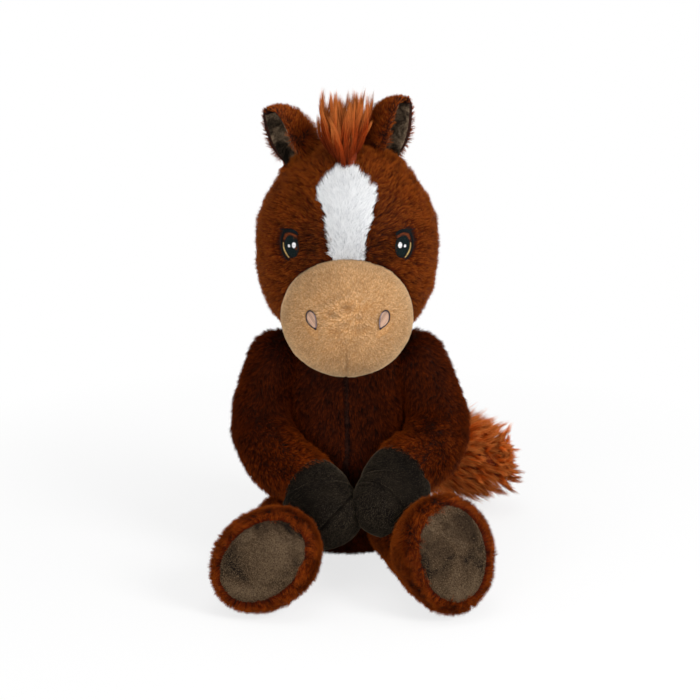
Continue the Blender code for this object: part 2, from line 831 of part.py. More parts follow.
# Legs: plush tubes with a rounded foot, each closed by a velvet sole
sole_pad_shares = ((0.00, 1.00), (0.70, 1.00), (1.00, 0.94), (1.25, 0.70), (1.38, 0.30))
leg_keepouts = []
for side, label in SIDES:
    rows, foot_end, foot_direction = leg_rows(side)
    roll = foot_roll[side]
    sole_rows = []
    for along in (-cover_thickness - foot_round, overrun):
        point = foot_end + foot_direction * along
        sole_rows.append((*point, sole_width / 2 + seam_gap, sole_height / 2 + seam_gap, roll))
    leg_cover = linked(label + "_leg_cover", limb_form(rows, limb_sides), chestnut_plush)
    cavity_rows = leg_rows(side, -cover_thickness)[0]
    leg_cavity = guide(label + "_leg_cavity", limb_form(cavity_rows, inner_sides))
    sole_hole = guide(label + "_sole_hole", limb_form(sole_rows, limb_sides))
    for cutter in (floor, leg_cavity, sole_hole):
        combine(leg_cover, cutter)
    stuffing_rows = leg_rows(side, -cover_thickness - stuffing_gap)[0]
    leg_stuffing = linked(label + "_leg_stuffing", limb_form(stuffing_rows, inner_sides), white_fibre)
    plug_rows = []
    for along in (-cover_thickness - foot_round, -sole_thickness - seam_gap):
        point = foot_end + foot_direction * along
        plug_rows.append((*point, sole_width / 2, sole_height / 2, roll))
    sole_plug = guide(label + "_sole_plug", limb_form(plug_rows, limb_sides))
    combine(leg_stuffing, sole_plug, "UNION")
    pad_rows = []
    for along_share, size_share in sole_pad_shares:
        point = foot_end + foot_direction * (along_share - 1) * sole_thickness
        pad_rows.append((*point, sole_width / 2 * size_share, sole_height / 2 * size_share, roll))
    linked(label + "_sole_pad", limb_form(pad_rows, limb_sides), charcoal_velvet)
    keepout_rows = leg_rows(side, limb_clearance)[0]
    leg_keepouts.append(guide(label + "_leg_keepout", limb_form(keepout_rows, limb_sides)))

# Arms: plush tubes from the shoulders, each ending in a velvet hoof with its own seam
for side, label in SIDES:
    rows, places = arm_rows(side)
    wrist = places[wrist_row]
    wrist_direction = (places[wrist_row + 1] - places[wrist_row - 1]).normalized()
    cavity_rows = arm_rows(side, -cover_thickness)[0]
    stuffing_rows = arm_rows(side, -cover_thickness - stuffing_gap)[0]
    past_wrist = guide(label + "_past_wrist", beyond(wrist, wrist_direction, arm_length / 2))
    hoof_start = wrist + wrist_direction * seam_gap
    before_wrist = guide(label + "_before_wrist", beyond(hoof_start, -wrist_direction, arm_length))
    arm_cavity = guide(label + "_arm_cavity", limb_form(cavity_rows, inner_sides))
    arm_cover = linked(label + "_arm_cover", limb_form(rows, limb_sides), chestnut_plush)
    for cutter in [torso_limb_keepout, past_wrist] + leg_keepouts + [arm_cavity]:
        combine(arm_cover, cutter, careful=True)
    hoof_cover = linked(label + "_hoof_cover", limb_form(rows, limb_sides), charcoal_velvet)
    for cutter in [torso_hoof_keepout, before_wrist] + leg_keepouts + [arm_cavity]:
        combine(hoof_cover, cutter, careful=True)
    arm_stuffing = linked(label + "_arm_stuffing", limb_form(stuffing_rows, inner_sides), white_fibre)
    for cutter in [torso_limb_keepout] + leg_keepouts:
        combine(arm_stuffing, cutter)

# Tail: a long-pile tuft that sweeps to the horse's left
tail_path_shares = (
    (0.12, 0.085, 0.010),
    (0.31, 0.150, 0.020),
    (0.56, 0.130, 0.035),
    (0.77, 0.070, 0.030),
    (0.90, 0.030, 0.030),
    (0.98, 0.010, 0.040),
)
tail_girth_shares = ((0.62, 0.52), (0.86, 0.76), (1.00, 1.00), (0.95, 0.98), (0.66, 0.72), (0.20, 0.28))
tail_path = [(*tail_pivot, tail_root_radius, tail_root_radius, 0)]
for place_shares, (wide_share, high_share) in zip(tail_path_shares, tail_girth_shares):
    point = tail_pivot + tail_length * Vector(place_shares)
    tail_path.append((*point, wide_share * tail_thickness / 2, high_share * tail_height / 2, 0))
tail_rows = round_end(tail_pivot, Vector(tail_path_shares[0]).normalized(), tail_root_radius, end_turn_shares)
tail_rows += between(tail_path, span_steps)
tail = linked("tail", limb_form(tail_rows, limb_sides), rust_hair)
combine(tail, torso_limb_keepout)
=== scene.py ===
"""The looks of a sitting plush horse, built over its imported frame."""

import math

import bpy
import numpy as np
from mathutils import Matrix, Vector, kdtree


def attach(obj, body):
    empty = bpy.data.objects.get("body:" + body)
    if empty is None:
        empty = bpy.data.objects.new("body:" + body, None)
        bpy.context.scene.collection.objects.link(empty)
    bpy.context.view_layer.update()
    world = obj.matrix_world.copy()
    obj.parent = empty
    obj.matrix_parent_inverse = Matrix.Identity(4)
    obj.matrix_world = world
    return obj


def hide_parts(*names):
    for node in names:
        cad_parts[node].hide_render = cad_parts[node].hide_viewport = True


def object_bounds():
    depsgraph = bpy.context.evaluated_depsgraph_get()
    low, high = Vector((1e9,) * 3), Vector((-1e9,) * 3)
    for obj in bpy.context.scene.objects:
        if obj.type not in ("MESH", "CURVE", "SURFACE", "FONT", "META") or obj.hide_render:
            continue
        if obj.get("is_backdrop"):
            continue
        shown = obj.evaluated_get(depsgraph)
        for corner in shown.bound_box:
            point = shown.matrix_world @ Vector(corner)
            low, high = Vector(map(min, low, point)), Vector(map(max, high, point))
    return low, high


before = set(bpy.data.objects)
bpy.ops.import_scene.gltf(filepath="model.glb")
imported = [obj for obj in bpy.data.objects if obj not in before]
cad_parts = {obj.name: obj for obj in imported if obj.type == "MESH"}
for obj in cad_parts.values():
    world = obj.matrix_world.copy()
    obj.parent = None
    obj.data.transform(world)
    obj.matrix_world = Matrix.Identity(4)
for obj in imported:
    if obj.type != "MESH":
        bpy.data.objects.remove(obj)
frame_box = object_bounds()


# Torso
# A pear-shaped sleeve of chestnut plush, sewn from panels with one seam down the chest.
# It is filled with polyester fibre over a bag of pellets, so it swells at the seat.
torso_height = 0.158
torso_width = 0.116
torso_depth = 0.108
torso_base = (0, 0, 0)
cloth_depth = 0.0040  # from the brushed tips of the pile down to the cloth
# Each level of an upright form: its share of the height, of the width and of the depth.
torso_levels = (
    (-0.003, 0.66, 0.66), (0.012, 0.77, 0.77), (0.060, 0.90, 0.90), (0.160, 0.98, 0.98),
    (0.300, 1.00, 1.00), (0.470, 0.95, 0.94), (0.640, 0.87, 0.82), (0.800, 0.85, 0.73),
    (0.910, 0.83, 0.68), (1.000, 0.72, 0.60), (1.060, 0.34, 0.34),
)
torso_form = (torso_levels, torso_width, torso_depth, torso_height, torso_base)


def smoothed(rows, steps):
    """Rows of numbers with smooth rows added between them."""
    rows = np.asarray(rows, dtype=float)
    result = []
    for index in range(len(rows) - 1):
        a = rows[max(index - 1, 0)]
        b = rows[index]
        c = rows[index + 1]
        d = rows[min(index + 2, len(rows) - 1)]
        for step in range(steps):
            t = step / steps
            bend = 2 * a - 5 * b + 4 * c - d
            twist = 3 * (b - c) + d - a
            result.append((2 * b + (c - a) * t + bend * t * t + twist * t * t * t) / 2)
    result.append(rows[-1])
    return np.array(result)


def round_turns(count):
    """Even angles round a whole turn."""
    return np.linspace(0, math.tau, count, endpoint=False)


def standing_rings(form, inward, sides=64):
    """Oval rings of an upright stuffed form, moved in from its outer surface by a distance."""
    levels, width, depth, height, base = form
    thinnest = 0.0004
    middle = base[2] + height / 2
    angles = round_turns(sides)
    rings = []
    for level, wide, deep in smoothed(levels, 5):
        x = np.cos(angles) * max(wide * (width / 2 - inward), thinnest) + base[0]
        y = np.sin(angles) * max(deep * (depth / 2 - inward), thinnest) + base[1]
        z = middle + (base[2] + level * height - middle) * (1 - 2 * inward / height)
        rings.append(np.column_stack([x, y, np.full(sides, z)]))
    return np.array(rings)


def in_scene(name, data):
    """A new object in the scene, which holds a mesh, a lamp or a camera."""
    thing = bpy.data.objects.new(name, data)
    bpy.context.scene.collection.objects.link(thing)
    return thing


def smooth_piece(name, points, faces, materials, spots=None):
    """A smooth piece made of faces, with the map OFBake where its corners' spots are given."""
    mesh = bpy.data.meshes.new(name)
    mesh.from_pydata(np.asarray(points).tolist(), [], faces)
    if spots is not None:
        layer = mesh.uv_layers.new(name="OFBake")
        layer.data.foreach_set("uv", np.asarray(spots, dtype=np.float32).ravel())
    for material in materials:
        mesh.materials.append(material)
    mesh.shade_smooth()
    return in_scene(name, mesh)


def cloth_mesh(name, rings, material):
    """A closed smooth skin over rings of points, with its map laid round and along it."""
    rows, sides = rings.shape[:2]
    points = np.concatenate([rings.reshape(-1, 3), [rings[0].mean(axis=0), rings[-1].mean(axis=0)]])
    faces, spots = [], []
    for row in range(rows - 1):
        low, high = row * sides, (row + 1) * sides
        for side in range(sides):
            other = (side + 1) % sides
            faces.append((low + side, low + other, high + other, high + side))
            spots += [(side, row), (side + 1, row), (side + 1, row + 1), (side, row + 1)]
    for row, tip in ((0, rows * sides), (rows - 1, rows * sides + 1)):
        for side in range(sides):
            other = (side + 1) % sides
            first, second = (other, side) if row == 0 else (side, other)
            faces.append((row * sides + first, row * sides + second, tip))
            spots += [(side, row), (side + 1, row), (side + 0.5, row + 0.5)]
    corners = points[list(faces[(rows // 2) * sides])]
    way = np.cross(corners[1] - corners[0], corners[2] - corners[0])
    if way @ (corners[0] - rings[rows // 2].mean(axis=0)) < 0:
        faces = [face[::-1] for face in faces]
        counts = np.cumsum([0] + [len(face) for face in faces])
        spots = [spot for a, b in zip(counts, counts[1:]) for spot in spots[a:b][::-1]]
    flat = np.array(spots, dtype=np.float32) / (sides, rows)
    return smooth_piece(name, points, faces, [material], flat * 0.98 + 0.01)


def linear(colour):
    """A hex colour as seen on a screen, turned to linear light."""
    values = [int(colour[index : index + 2], 16) / 255 for index in (1, 3, 5)]
    return [v / 12.92 if v <= 0.04045 else ((v + 0.055) / 1.055) ** 2.4 for v in values] + [1.0]


def add_node(tree, kind, settings=(), links=()):
    """Adds a node with its settings, by property or input name, and links its inputs.

    Each link comes from a socket, or from a node's first output.
    """
    node = tree.nodes.new("ShaderNode" + kind)
    for key, value in dict(settings).items():
        if key == "stops":
            steps = node.color_ramp.elements
            steps[0].position = value[0][0]
            steps[1].position = value[-1][0]
            for place, _ in value[1:-1]:
                steps.new(place)
            for step, (_, colour) in zip(steps, value):
                step.color = linear(colour)
        elif isinstance(key, str) and hasattr(node, key):
            setattr(node, key, value)
        else:
            node.inputs[key].default_value = value
    for key, source in dict(links).items():
        tree.links.new(getattr(source, "outputs", [source])[0], node.inputs[key])
    return node


def new_material(name):
    """A material with an empty node tree, and that tree."""
    material = bpy.data.materials.new(name)
    material.use_nodes = True
    material.node_tree.nodes.clear()
    return material, material.node_tree


def knitted_backing(name, colour, dark):
    """The knitted cloth that a pile is anchored in: matt, with 1.2 mm wales, and coloured darker than its
    pile, as painted shade where it shows between the tufts.
    """
    material, tree = new_material(name)
    place = add_node(tree, "TexCoord").outputs["Object"]
    loops = add_node(tree, "TexNoise", {"Scale": 1 / 0.0012, "Detail": 2.0}, {"Vector": place})
    tint = add_node(tree, "ValToRGB", {"stops": ((0.3, dark), (0.7, colour))}, {"Fac": loops})
    bump = add_node(tree, "Bump", {"Strength": 0.5, "Distance": 0.0006}, {"Height": loops})
    finish = {"Roughness": 0.95, "Specular IOR Level": 0.2}
    shader = add_node(tree, "BsdfPrincipled", finish, {"Base Color": tint, "Normal": bump})
    add_node(tree, "OutputMaterial", links={"Surface": shader})
    return material


def fibres(name, along_stops, tone_stops, finish):
    """Fibres whose map runs along each one in V, and from a dull one to a bright one in U."""
    material, tree = new_material(name)
    spot = add_node(tree, "UVMap", {"uv_map": "OFBake"})
    parts = add_node(tree, "SeparateXYZ", links={"Vector": spot}).outputs
    along = add_node(tree, "ValToRGB", {"stops": along_stops}, {"Fac": parts["Y"]})
    tone = add_node(tree, "ValToRGB", {"stops": tone_stops}, {"Fac": parts["X"]})
    blend = {"data_type": "RGBA", "blend_type": "MULTIPLY", "Factor": 1.0}
    dyed = add_node(tree, "Mix", blend, {6: along, 7: tone})
    shader = add_node(tree, "BsdfPrincipled", finish, {"Base Color": dyed.outputs[2]})
    add_node(tree, "OutputMaterial", links={"Surface": shader})
    return material


def dyed_pile(name, root, middle, tip, dull, usual="#dadada"):
    """Brushed polyester pile: each hair is painted from a dark root, as painted shade deep in the pile, to a
    paler tip, as painted light.
    """
    finish = {"Roughness": 0.6, "IOR": 1.55, "Specular IOR Level": 0.03}
    sheen = {"Sheen Weight": 0.45, "Sheen Roughness": 0.4, "Sheen Tint": linear(tip)}
    # Painted shade at the root, painted light at the tip.
    along = ((0.0, root), (0.55, middle), (1.0, tip))
    return fibres(name, along, ((0.0, dull), (0.5, usual), (1.0, "#ffffff")), finish | sheen)


def drift(places, wavelength, seed):
    """Soft random vectors that change over about one wavelength."""
    rng = np.random.default_rng(seed)
    total = np.zeros_like(places)
    for octave in range(5):
        waves = rng.normal(size=(3, 3)) * math.tau / wavelength * (0.6 + 0.3 * octave) / 1.7
        total += np.sin(places @ waves.T + rng.uniform(0, math.tau, 3))
    return total / 2.2


def unit(vectors):
    return vectors / np.maximum(np.linalg.norm(vectors, axis=-1, keepdims=True), 1e-12)


def triples(items, key, kind=float):
    """Three numbers of each of a mesh's items."""
    values = np.empty(len(items) * 3, dtype=kind)
    items.foreach_get(key, values)
    return values.reshape(-1, 3)


def roots_over(thing, per_square_mm, seed):
    """Random places and smooth normals over an object's skin."""
    mesh = thing.data
    mesh.calc_loop_triangles()
    points = triples(mesh.vertices, "co")
    normals = triples(mesh.vertex_normals, "vector")
    corners = triples(mesh.loop_triangles, "vertices", np.int64)
    a, b, c = points[corners[:, 0]], points[corners[:, 1]], points[corners[:, 2]]
    areas = np.linalg.norm(np.cross(b - a, c - a), axis=1) / 2
    rng = np.random.default_rng(seed)
    count = int(areas.sum() * 1e6 * per_square_mm)
    picks = np.searchsorted(np.cumsum(areas) / areas.sum(), rng.random(count))
    picks = np.minimum(picks, len(areas) - 1)
    s = np.sqrt(rng.random(count))[:, None]
    t = rng.random(count)[:, None]
    shares = (1 - s, s * (1 - t), s * t)
    where = sum(points[corners[picks, index]] * share for index, share in enumerate(shares))
    facing = sum(normals[corners[picks, index]] * share for index, share in enumerate(shares))
    return where, unit(facing)


def hairs(name, lines, widths, facing, tones, material, body, soft=0.6):
    """Three-sided strands that taper to a point, as one or more pieces that ride on a body.

    Lines are (hair, point, 3). Facing is each hair's outward direction, which its shading leans to.
    A real hair is about 0.05 mm thick, and these are as coarse as they need to be to show.
    """
    most_triangles = 190000
    count, steps = lines.shape[:2]
    parts = max(1, math.ceil(count * (6 * steps - 9) / most_triangles))
    spin = np.radians([90, -30, -150])
    end = 3 * (steps - 1)
    edges = [(j, (j + 1) % 3) for j in range(3)]
    quads = [(k + a, k + b, k + 3 + b, k + 3 + a) for k in range(0, end - 3, 3) for a, b in edges]
    points_of = [(end - 3 + a, end - 3 + b, end) for a, b in edges]
    template = np.array([corner for face in quads + points_of for corner in face])
    sizes = np.array([4] * len(quads) + [3] * 3)
    heights = np.array([k // 3 / (steps - 1) for k in range(end)] + [1.0])
    pieces = []
    for part in range(parts):
        take = slice(part, None, parts)
        path, out, tone = lines[take], facing[take][:, None, :], tones[take]
        n = len(path)
        along = unit(path[:, 1:] - path[:, :-1])
        side = unit(np.cross(along, out))
        lift = np.cross(side, along)
        cosine, sine = np.cos(spin)[:, None], np.sin(spin)[:, None]
        round_it = side[:, :, None, :] * cosine + lift[:, :, None, :] * sine
        half = widths[take][:, None] / 2 * np.linspace(1, 0.6, steps - 1)[None, :]
        rows = path[:, :-1, None, :] + round_it * half[:, :, None, None]
        points = np.concatenate([rows.reshape(n, -1, 3), path[:, -1:]], axis=1)
        loops = (np.arange(n)[:, None] * (end + 1) + template[None, :]).ravel()
        starts = np.concatenate([[0], np.cumsum(np.tile(sizes, n))[:-1]])
        mesh = bpy.data.meshes.new(name)
        mesh.vertices.add(n * (end + 1))
        mesh.vertices.foreach_set("co", points.astype(np.float32).ravel())
        mesh.loops.add(len(loops))
        mesh.loops.foreach_set("vertex_index", loops.astype(np.int32))
        mesh.polygons.add(len(starts))
        mesh.polygons.foreach_set("loop_start", starts.astype(np.int32))
        layer = mesh.uv_layers.new(name="OFBake")
        spots = np.empty((n, len(template), 2), dtype=np.float32)
        spots[:, :, 0] = tone[:, None] * 0.96 + 0.02
        spots[:, :, 1] = heights[template][None, :] * 0.96 + 0.02
        layer.data.foreach_set("uv", spots.ravel())
        mesh.materials.append(material)
        mesh.update(calc_edges=True)
        mesh.shade_smooth()
        bent = (round_it * (1 - soft) + out[:, :, None, :] * soft).reshape(n, -1, 3)
        bent = np.concatenate([bent, out], axis=1).reshape(-1, 3)
        mesh.normals_split_custom_set_from_vertices(unit(bent).astype(np.float32))
        thing = in_scene(name if parts == 1 else name + "_" + str(part + 1), mesh)
        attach(thing, body)
        pieces.append(thing)
    return pieces


def brushed_pile(name, roots, density, comb, length, material, body, lean=0.90, width=0.00044, tuft=0.0019,
                 gather=0.52, ruffle=0.38, tone_shift=0.0, contrast=0.15, seed=1, floor_level=None):
    """Short pile: leaning hairs whose tips gather in small tufts, brushed along the comb direction.

    Density is in hairs per square millimetre, lean in radians from upright, and a tuft's size in metres.
    """
    where, facing = roots
    rng = np.random.default_rng(seed)
    n = len(where)
    lay = comb + drift(where, 0.030, seed) * ruffle + drift(where, 0.009, seed + 1) * ruffle * 0.6
    lay = lay + rng.normal(scale=0.22, size=(n, 3))
    lay = unit(lay - facing * np.sum(lay * facing, axis=1, keepdims=True))
    tilt = lean + rng.normal(scale=0.14, size=n) + drift(where, 0.014, seed + 2)[:, 0] * 0.16
    long = length * rng.uniform(0.75, 1.15, n)[:, None]
    base = where - facing * 0.0004
    tip = base + (facing * np.cos(tilt)[:, None] + lay * np.sin(tilt)[:, None]) * long
    count = max(int(n / (density * 1e6) / tuft**2), 1)
    heads = rng.choice(n, size=min(count, n), replace=False)
    tree = kdtree.KDTree(len(heads))
    for index, head in enumerate(heads):
        tree.insert(where[head], index)
    tree.balance()
    near = heads[np.fromiter((tree.find(point)[1] for point in where), dtype=np.int64, count=n)]
    tip = tip + (tip[near] - tip) * (gather * rng.uniform(0.5, 1.1, n))[:, None]
    tones = 0.5 + tone_shift + rng.normal(scale=contrast, size=n)[near] + rng.normal(scale=0.24, size=n)
    tones = np.clip(tones + drift(where, 0.024, seed + 3)[:, 0] * 0.08, 0, 1)
    lines = np.stack([base, tip], axis=1)
    if floor_level is not None:
        lines[:, :, 2] = np.maximum(lines[:, :, 2], floor_level + rng.uniform(0, 0.0006, n)[:, None])
    return hairs(name, lines, width * rng.uniform(0.7, 1.2, n), facing, tones, material, body)


# The chestnut backing is coloured as dark as the hairs' roots, as painted shade in the partings of the pile.
plush_backing_painted_shade = knitted_backing("chestnut knitted backing", "#2e1004", "#180702")
# The body's pile is a darker copy of the chestnut pile, as painted shade on the body under the head.
body_pile_painted_shade = dyed_pile("chestnut polyester pile of the body", "#180500", "#3c1100", "#7c3104", "#5a5a5a")
pile_floor = 0.0004  # the lowest that a hair's tip goes
pile_length = 0.0070
pile_density = 3.0


def above_floor(points):
    return np.maximum(points, np.array([-9.0, -9.0, 0.0003]))


torso_rings = above_floor(standing_rings(torso_form, cloth_depth))
torso_cloth = cloth_mesh("torso_cloth", torso_rings, plush_backing_painted_shade)
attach(torso_cloth, "torso")
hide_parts("body_cover", "body_stuffing", "pellet_bag")

where, facing = roots_over(torso_cloth, pile_density, 11)
shown = (where[:, 2] > 0.002) & (where[:, 2] < 0.166)
where, facing = where[shown], facing[shown]
down = np.tile((0.0, -0.15, -1.0), (len(where), 1))
# The torso's pile is painted a little darker all over, as painted shade under the head, and darker still
# beside the chest seam, as painted shade in the seam.
beside_seam = np.clip(1 - np.abs(where[:, 0]) / 0.003, 0, 1) * (where[:, 1] < 0) * (where[:, 2] > 0.015)
away = np.sign(where[:, 0:1]) * np.array([1.0, 0, 0]) * beside_seam[:, None] * 1.5
brushed_pile(
    "torso_pile", (where, facing), pile_density, down + away,
    pile_length * (1 - 0.45 * beside_seam)[:, None], body_pile_painted_shade, "torso",
    tone_shift=-0.10 - 0.5 * beside_seam, seed=12, floor_level=pile_floor,
)


# Neck
# A short sleeve of the same plush that turns on the torso's flat top and carries the head.
# Only a line of its pile shows between the head and the shoulders.
neck_radius = 0.027
neck_centre = np.array([0, 0, 0.172])
neck_density = 1.2
neck_pile_length = 0.003
around = round_turns(48)
neck_rings = []
for angle in np.linspace(-0.50, 0.52, 12):
    radius = math.cos(angle) * (neck_radius - 0.0008)
    level = np.full(48, math.sin(angle) * neck_radius)
    ring = np.column_stack([np.cos(around) * radius, np.sin(around) * radius, level])
    neck_rings.append(ring + neck_centre)
neck_cloth = cloth_mesh("neck_cloth", np.array(neck_rings), plush_backing_painted_shade)
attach(neck_cloth, "neck")
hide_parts("neck_cover", "neck_stuffing")
where, facing = roots_over(neck_cloth, neck_density, 21)
shown = (facing[:, 2] < 0.6) & (facing[:, 2] > -0.7)
where, facing = where[shown], facing[shown]
down = np.tile((0.0, 0.0, -1.0), (len(where), 1))
brushed_pile(
    "neck_pile", (where, facing), neck_density, down, neck_pile_length, body_pile_painted_shade, "neck", seed=22,
)


# Head
# A tall round form of plush panels with a seam up each cheek, stuffed firmly.
# Its pile is brushed back and down, away from the muzzle and the blaze.
head_height = 0.153
head_width = 0.139
head_depth = 0.122
head_base = (0, -0.004, 0.161)
head_levels = (
    (0.000, 0.36, 0.36), (0.045, 0.54, 0.54), (0.130, 0.78, 0.76), (0.270, 0.94, 0.92),
    (0.380, 0.985, 0.98), (0.484, 1.000, 1.00), (0.600, 0.985, 0.985), (0.700, 0.92, 0.92),
    (0.840, 0.735, 0.735), (0.935, 0.500, 0.50), (0.985, 0.250, 0.25), (1.000, 0.060, 0.06),
)
head_centre = np.array([0, -0.004, 0.2375])
head_pile_length = 0.0068
head_form = (head_levels, head_width, head_depth, head_height, head_base)
# The head's pile is a lighter copy of the chestnut pile, as painted light on the head.
head_pile_painted_light = dyed_pile("chestnut polyester pile of the head", "#341002", "#672606", "#b85f1f", "#5a5a5a")
head_cloth = cloth_mesh("head_cloth", standing_rings(head_form, cloth_depth, 72), plush_backing_painted_shade)
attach(head_cloth, "head")
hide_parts("head_cover", "head_stuffing")


def head_front(x, z, outward):
    """Points a distance outward from the head's front skin, at places given in X and Z."""
    rows = smoothed(head_levels, 6)

    def skin_y(x, z):
        level = (z - head_base[2]) / head_height
        wide = np.interp(level, rows[:, 0], rows[:, 1]) * head_width / 2
        deep = np.interp(level, rows[:, 0], rows[:, 2]) * head_depth / 2
        return head_base[1] - deep * np.sqrt(np.maximum(1 - (x / wide) ** 2, 0.01))

    y = skin_y(x, z)
    step = 0.001
    slope_x = (skin_y(x + step, z) - skin_y(x - step, z)) / (2 * step)
    slope_z = (skin_y(x, z + step) - skin_y(x, z - step)) / (2 * step)
    normal = unit(np.stack([slope_x, -np.ones_like(y), slope_z], axis=1))
    return np.stack([x, y, z], axis=1) + normal * outward


# The head's pile stops at the muzzle, the blaze and the eyes, and rises round the ears,
# so their places are needed here.
muzzle_centre = np.array([0, -0.058, 0.195])
muzzle_half = np.array([0.0485, 0.0500, 0.0440])
blaze_low = 0.235
blaze_height = 0.070
blaze_width = 0.047
blaze_outline = (
    (-0.22, 0.00), (-0.27, 0.18), (-0.29, 0.42), (-0.37, 0.58), (-0.42, 0.70), (-0.34, 0.79), (-0.17, 0.90),
    (-0.03, 0.98), (0.08, 0.92), (0.26, 0.82), (0.40, 0.70), (0.40, 0.58), (0.33, 0.40), (0.27, 0.18),
    (0.23, 0.00),
)
eye_places = {1: (0.042, 0.2465), -1: (-0.042, 0.2465)}
ear_pivots = {1: np.array([0.0275, 0.002, 0.30035]), -1: np.array([-0.0345, 0.002, 0.29648])}


def in_outline(u, v, outline):
    """Whether places in a plane lie inside an outline."""
    inside = np.zeros(len(u), dtype=bool)
    points = np.asarray(outline)
    for (x1, y1), (x2, y2) in zip(points, np.roll(points, -1, axis=0)):
        crosses = (y1 > v) != (y2 > v)
        where_x = (x2 - x1) * (v - y1) / (y2 - y1 + 1e-15) + x1
        inside ^= crosses & (u < where_x)
    return inside


def in_muzzle(points, margin=0.0):
    return np.sum(((points - muzzle_centre) / (muzzle_half + margin)) ** 2, axis=1) < 1


def on_blaze(points):
    ragged = drift(points, 0.006, 5)[:, 0] * 0.0008
    u = (points[:, 0] + ragged) / blaze_width
    v = (points[:, 2] + ragged - blaze_low) / blaze_height
    return in_outline(u, v, blaze_outline) & (points[:, 1] < 0)


# Outline of the embroidered eye, outward and up from its middle, in millimetres.
eye_outline_mm = (
    (-5.6, 8.0), (-2.0, 10.4), (2.5, 10.6), (4.8, 7.4), (6.2, 2.2), (6.0, -3.2), (4.2, -7.6), (1.4, -10.8),
    (-0.8, -9.4), (-4.2, -8.0), (-6.6, -4.4), (-7.0, 0.2), (-6.2, 4.6),
)


def on_patches(points, places, outline_mm, growth, behind):
    """Whether points lie on either side's patch of stitches, grown by a share of its half size."""
    found = np.zeros(len(points), dtype=bool)
    scale = 1 + growth
    for side, (x, z) in places.items():
        u = (points[:, 0] * side - abs(x)) * 1000
        v = (points[:, 2] - z) * 1000
        found |= in_outline(u / scale, v / scale, outline_mm) & (points[:, 1] < behind)
    return found


def on_eyes(points, grow_mm):
    return on_patches(points, eye_places, eye_outline_mm, grow_mm / 8, 0)


where, facing = roots_over(head_cloth, pile_density, 31)
shown = ~in_muzzle(where, -0.001) & ~on_eyes(where, 0.8)
shown &= np.linalg.norm(where - neck_centre, axis=1) > neck_radius + 0.002
where, facing = where[shown], facing[shown]
white = on_blaze(where)
from_face = where - np.array([0, -0.085, 0.225])
comb = unit(from_face) * np.array([1.1, 0.8, 0.9]) + np.array([0, 0.35, -0.25])
# The pile is shorter in the seam up each cheek and round the eyes, and painted darker on the brow over them,
# as painted shade.
cheek = np.clip(1 - np.abs(where[:, 1] + 0.010 + (where[:, 2] - 0.24) * 0.25) / 0.0025, 0, 1)
cheek = cheek * (where[:, 2] < 0.295)
by_eye = on_eyes(where, 3.0) & (facing[:, 1] < 0)
long = head_pile_length * (1 - 0.30 * cheek)
long[by_eye] *= 0.62
for ear_foot in ear_pivots.values():
    by_ear = np.exp(-np.sum((where - ear_foot) ** 2, axis=1) / 0.016**2)
    long = long * (1 + 0.55 * by_ear)
    comb = comb + by_ear[:, None] * (unit(ear_foot - where) * 0.6 + np.array([0, 0, 1.2]))
# Painted shade on the brow over the eyes.
brow = np.exp(-(((np.abs(where[:, 0]) - 0.022) / 0.012) ** 2) - ((where[:, 2] - 0.248) / 0.022) ** 2)
brow_painted_shade = -0.42 * brow * (where[:, 1] < 0)
brushed_pile(
    "head_pile_painted_light", (where[~white], facing[~white]), pile_density, comb[~white], long[~white][:, None],
    head_pile_painted_light, "head", tone_shift=brow_painted_shade[~white], seed=32,
)


# Blaze
# A panel of white plush let into the brow, wide above and narrow where it meets the muzzle.
# Its longer pile is brushed up and over the seam, so that the edge is feathered.
white_pile = dyed_pile("white polyester pile", "#e6e8ea", "#f6f7f8", "#ffffff", "#d6d7d9", "#fafafa")
blaze_x, blaze_z = np.meshgrid(np.linspace(-0.5, 0.52, 30), np.linspace(0.0, 1.0, 40))
inside = in_outline(blaze_x.ravel(), blaze_z.ravel(), blaze_outline).reshape(blaze_x.shape)
patch = head_front(
    blaze_x.ravel() * blaze_width, blaze_low + blaze_z.ravel() * blaze_height, -cloth_depth + 0.0004
)
lines_of_patch, columns = blaze_x.shape
patch_faces = []
for row in range(lines_of_patch - 1):
    for column in range(columns - 1):
        if inside[row : row + 2, column : column + 2].all():
            first = row * columns + column
            patch_faces.append((first, first + 1, first + columns + 1, first + columns))
white_backing = knitted_backing("white knitted backing", "#d4d6d8", "#a8abae")
blaze_cloth = smooth_piece("blaze_cloth", patch, patch_faces, [white_backing])
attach(blaze_cloth, "head")
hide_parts("blaze_panel")
blaze_pile_length = 0.0066
extra, extra_facing = roots_over(head_cloth, pile_density, 33)
more = on_blaze(extra) & ~in_muzzle(extra, -0.001)
where = np.concatenate([where[white], extra[more]])
facing = np.concatenate([facing[white], extra_facing[more]])
comb = np.stack([where[:, 0] * 40, np.zeros(len(where)), np.ones(len(where))], axis=1)
brushed_pile(
    "blaze_pile", (where, facing), pile_density * 2, comb, blaze_pile_length, white_pile,
    "head", lean=0.75, width=0.00038, tuft=0.0013, gather=0.22, seed=34,
)


# Muzzle
# A round cup of tan plush with a short cropped pile, sewn over the front of the face and stuffed.
# A seam runs up under its middle, and the nose is drawn in by a few gathering stitches.
tan_backing = knitted_backing("tan knitted backing", "#b98a58", "#96693c")
tan_pile = dyed_pile("tan cropped pile", "#a07344", "#deab74", "#ffdcb0", "#b8b2ac")
peach_pile = dyed_pile("tan pile cropped short", "#c08f5c", "#f4c28e", "#ffe0b8", "#d0cac4")
# Each gathering stitch: its place across and up, and its depth, in millimetres.
gather_mm = (
    (0.0, 17.0, 3.6), (-8.5, 13.0, 2.4), (5.5, 11.5, 2.2), (-2.0, 7.0, 1.8), (9.0, 4.0, 1.4),
    (-6.0, 1.0, 1.4),
)


def bell(distance, width):
    """A smooth bump, one high, that falls off over a width."""
    return np.exp(-((distance / width) ** 2))


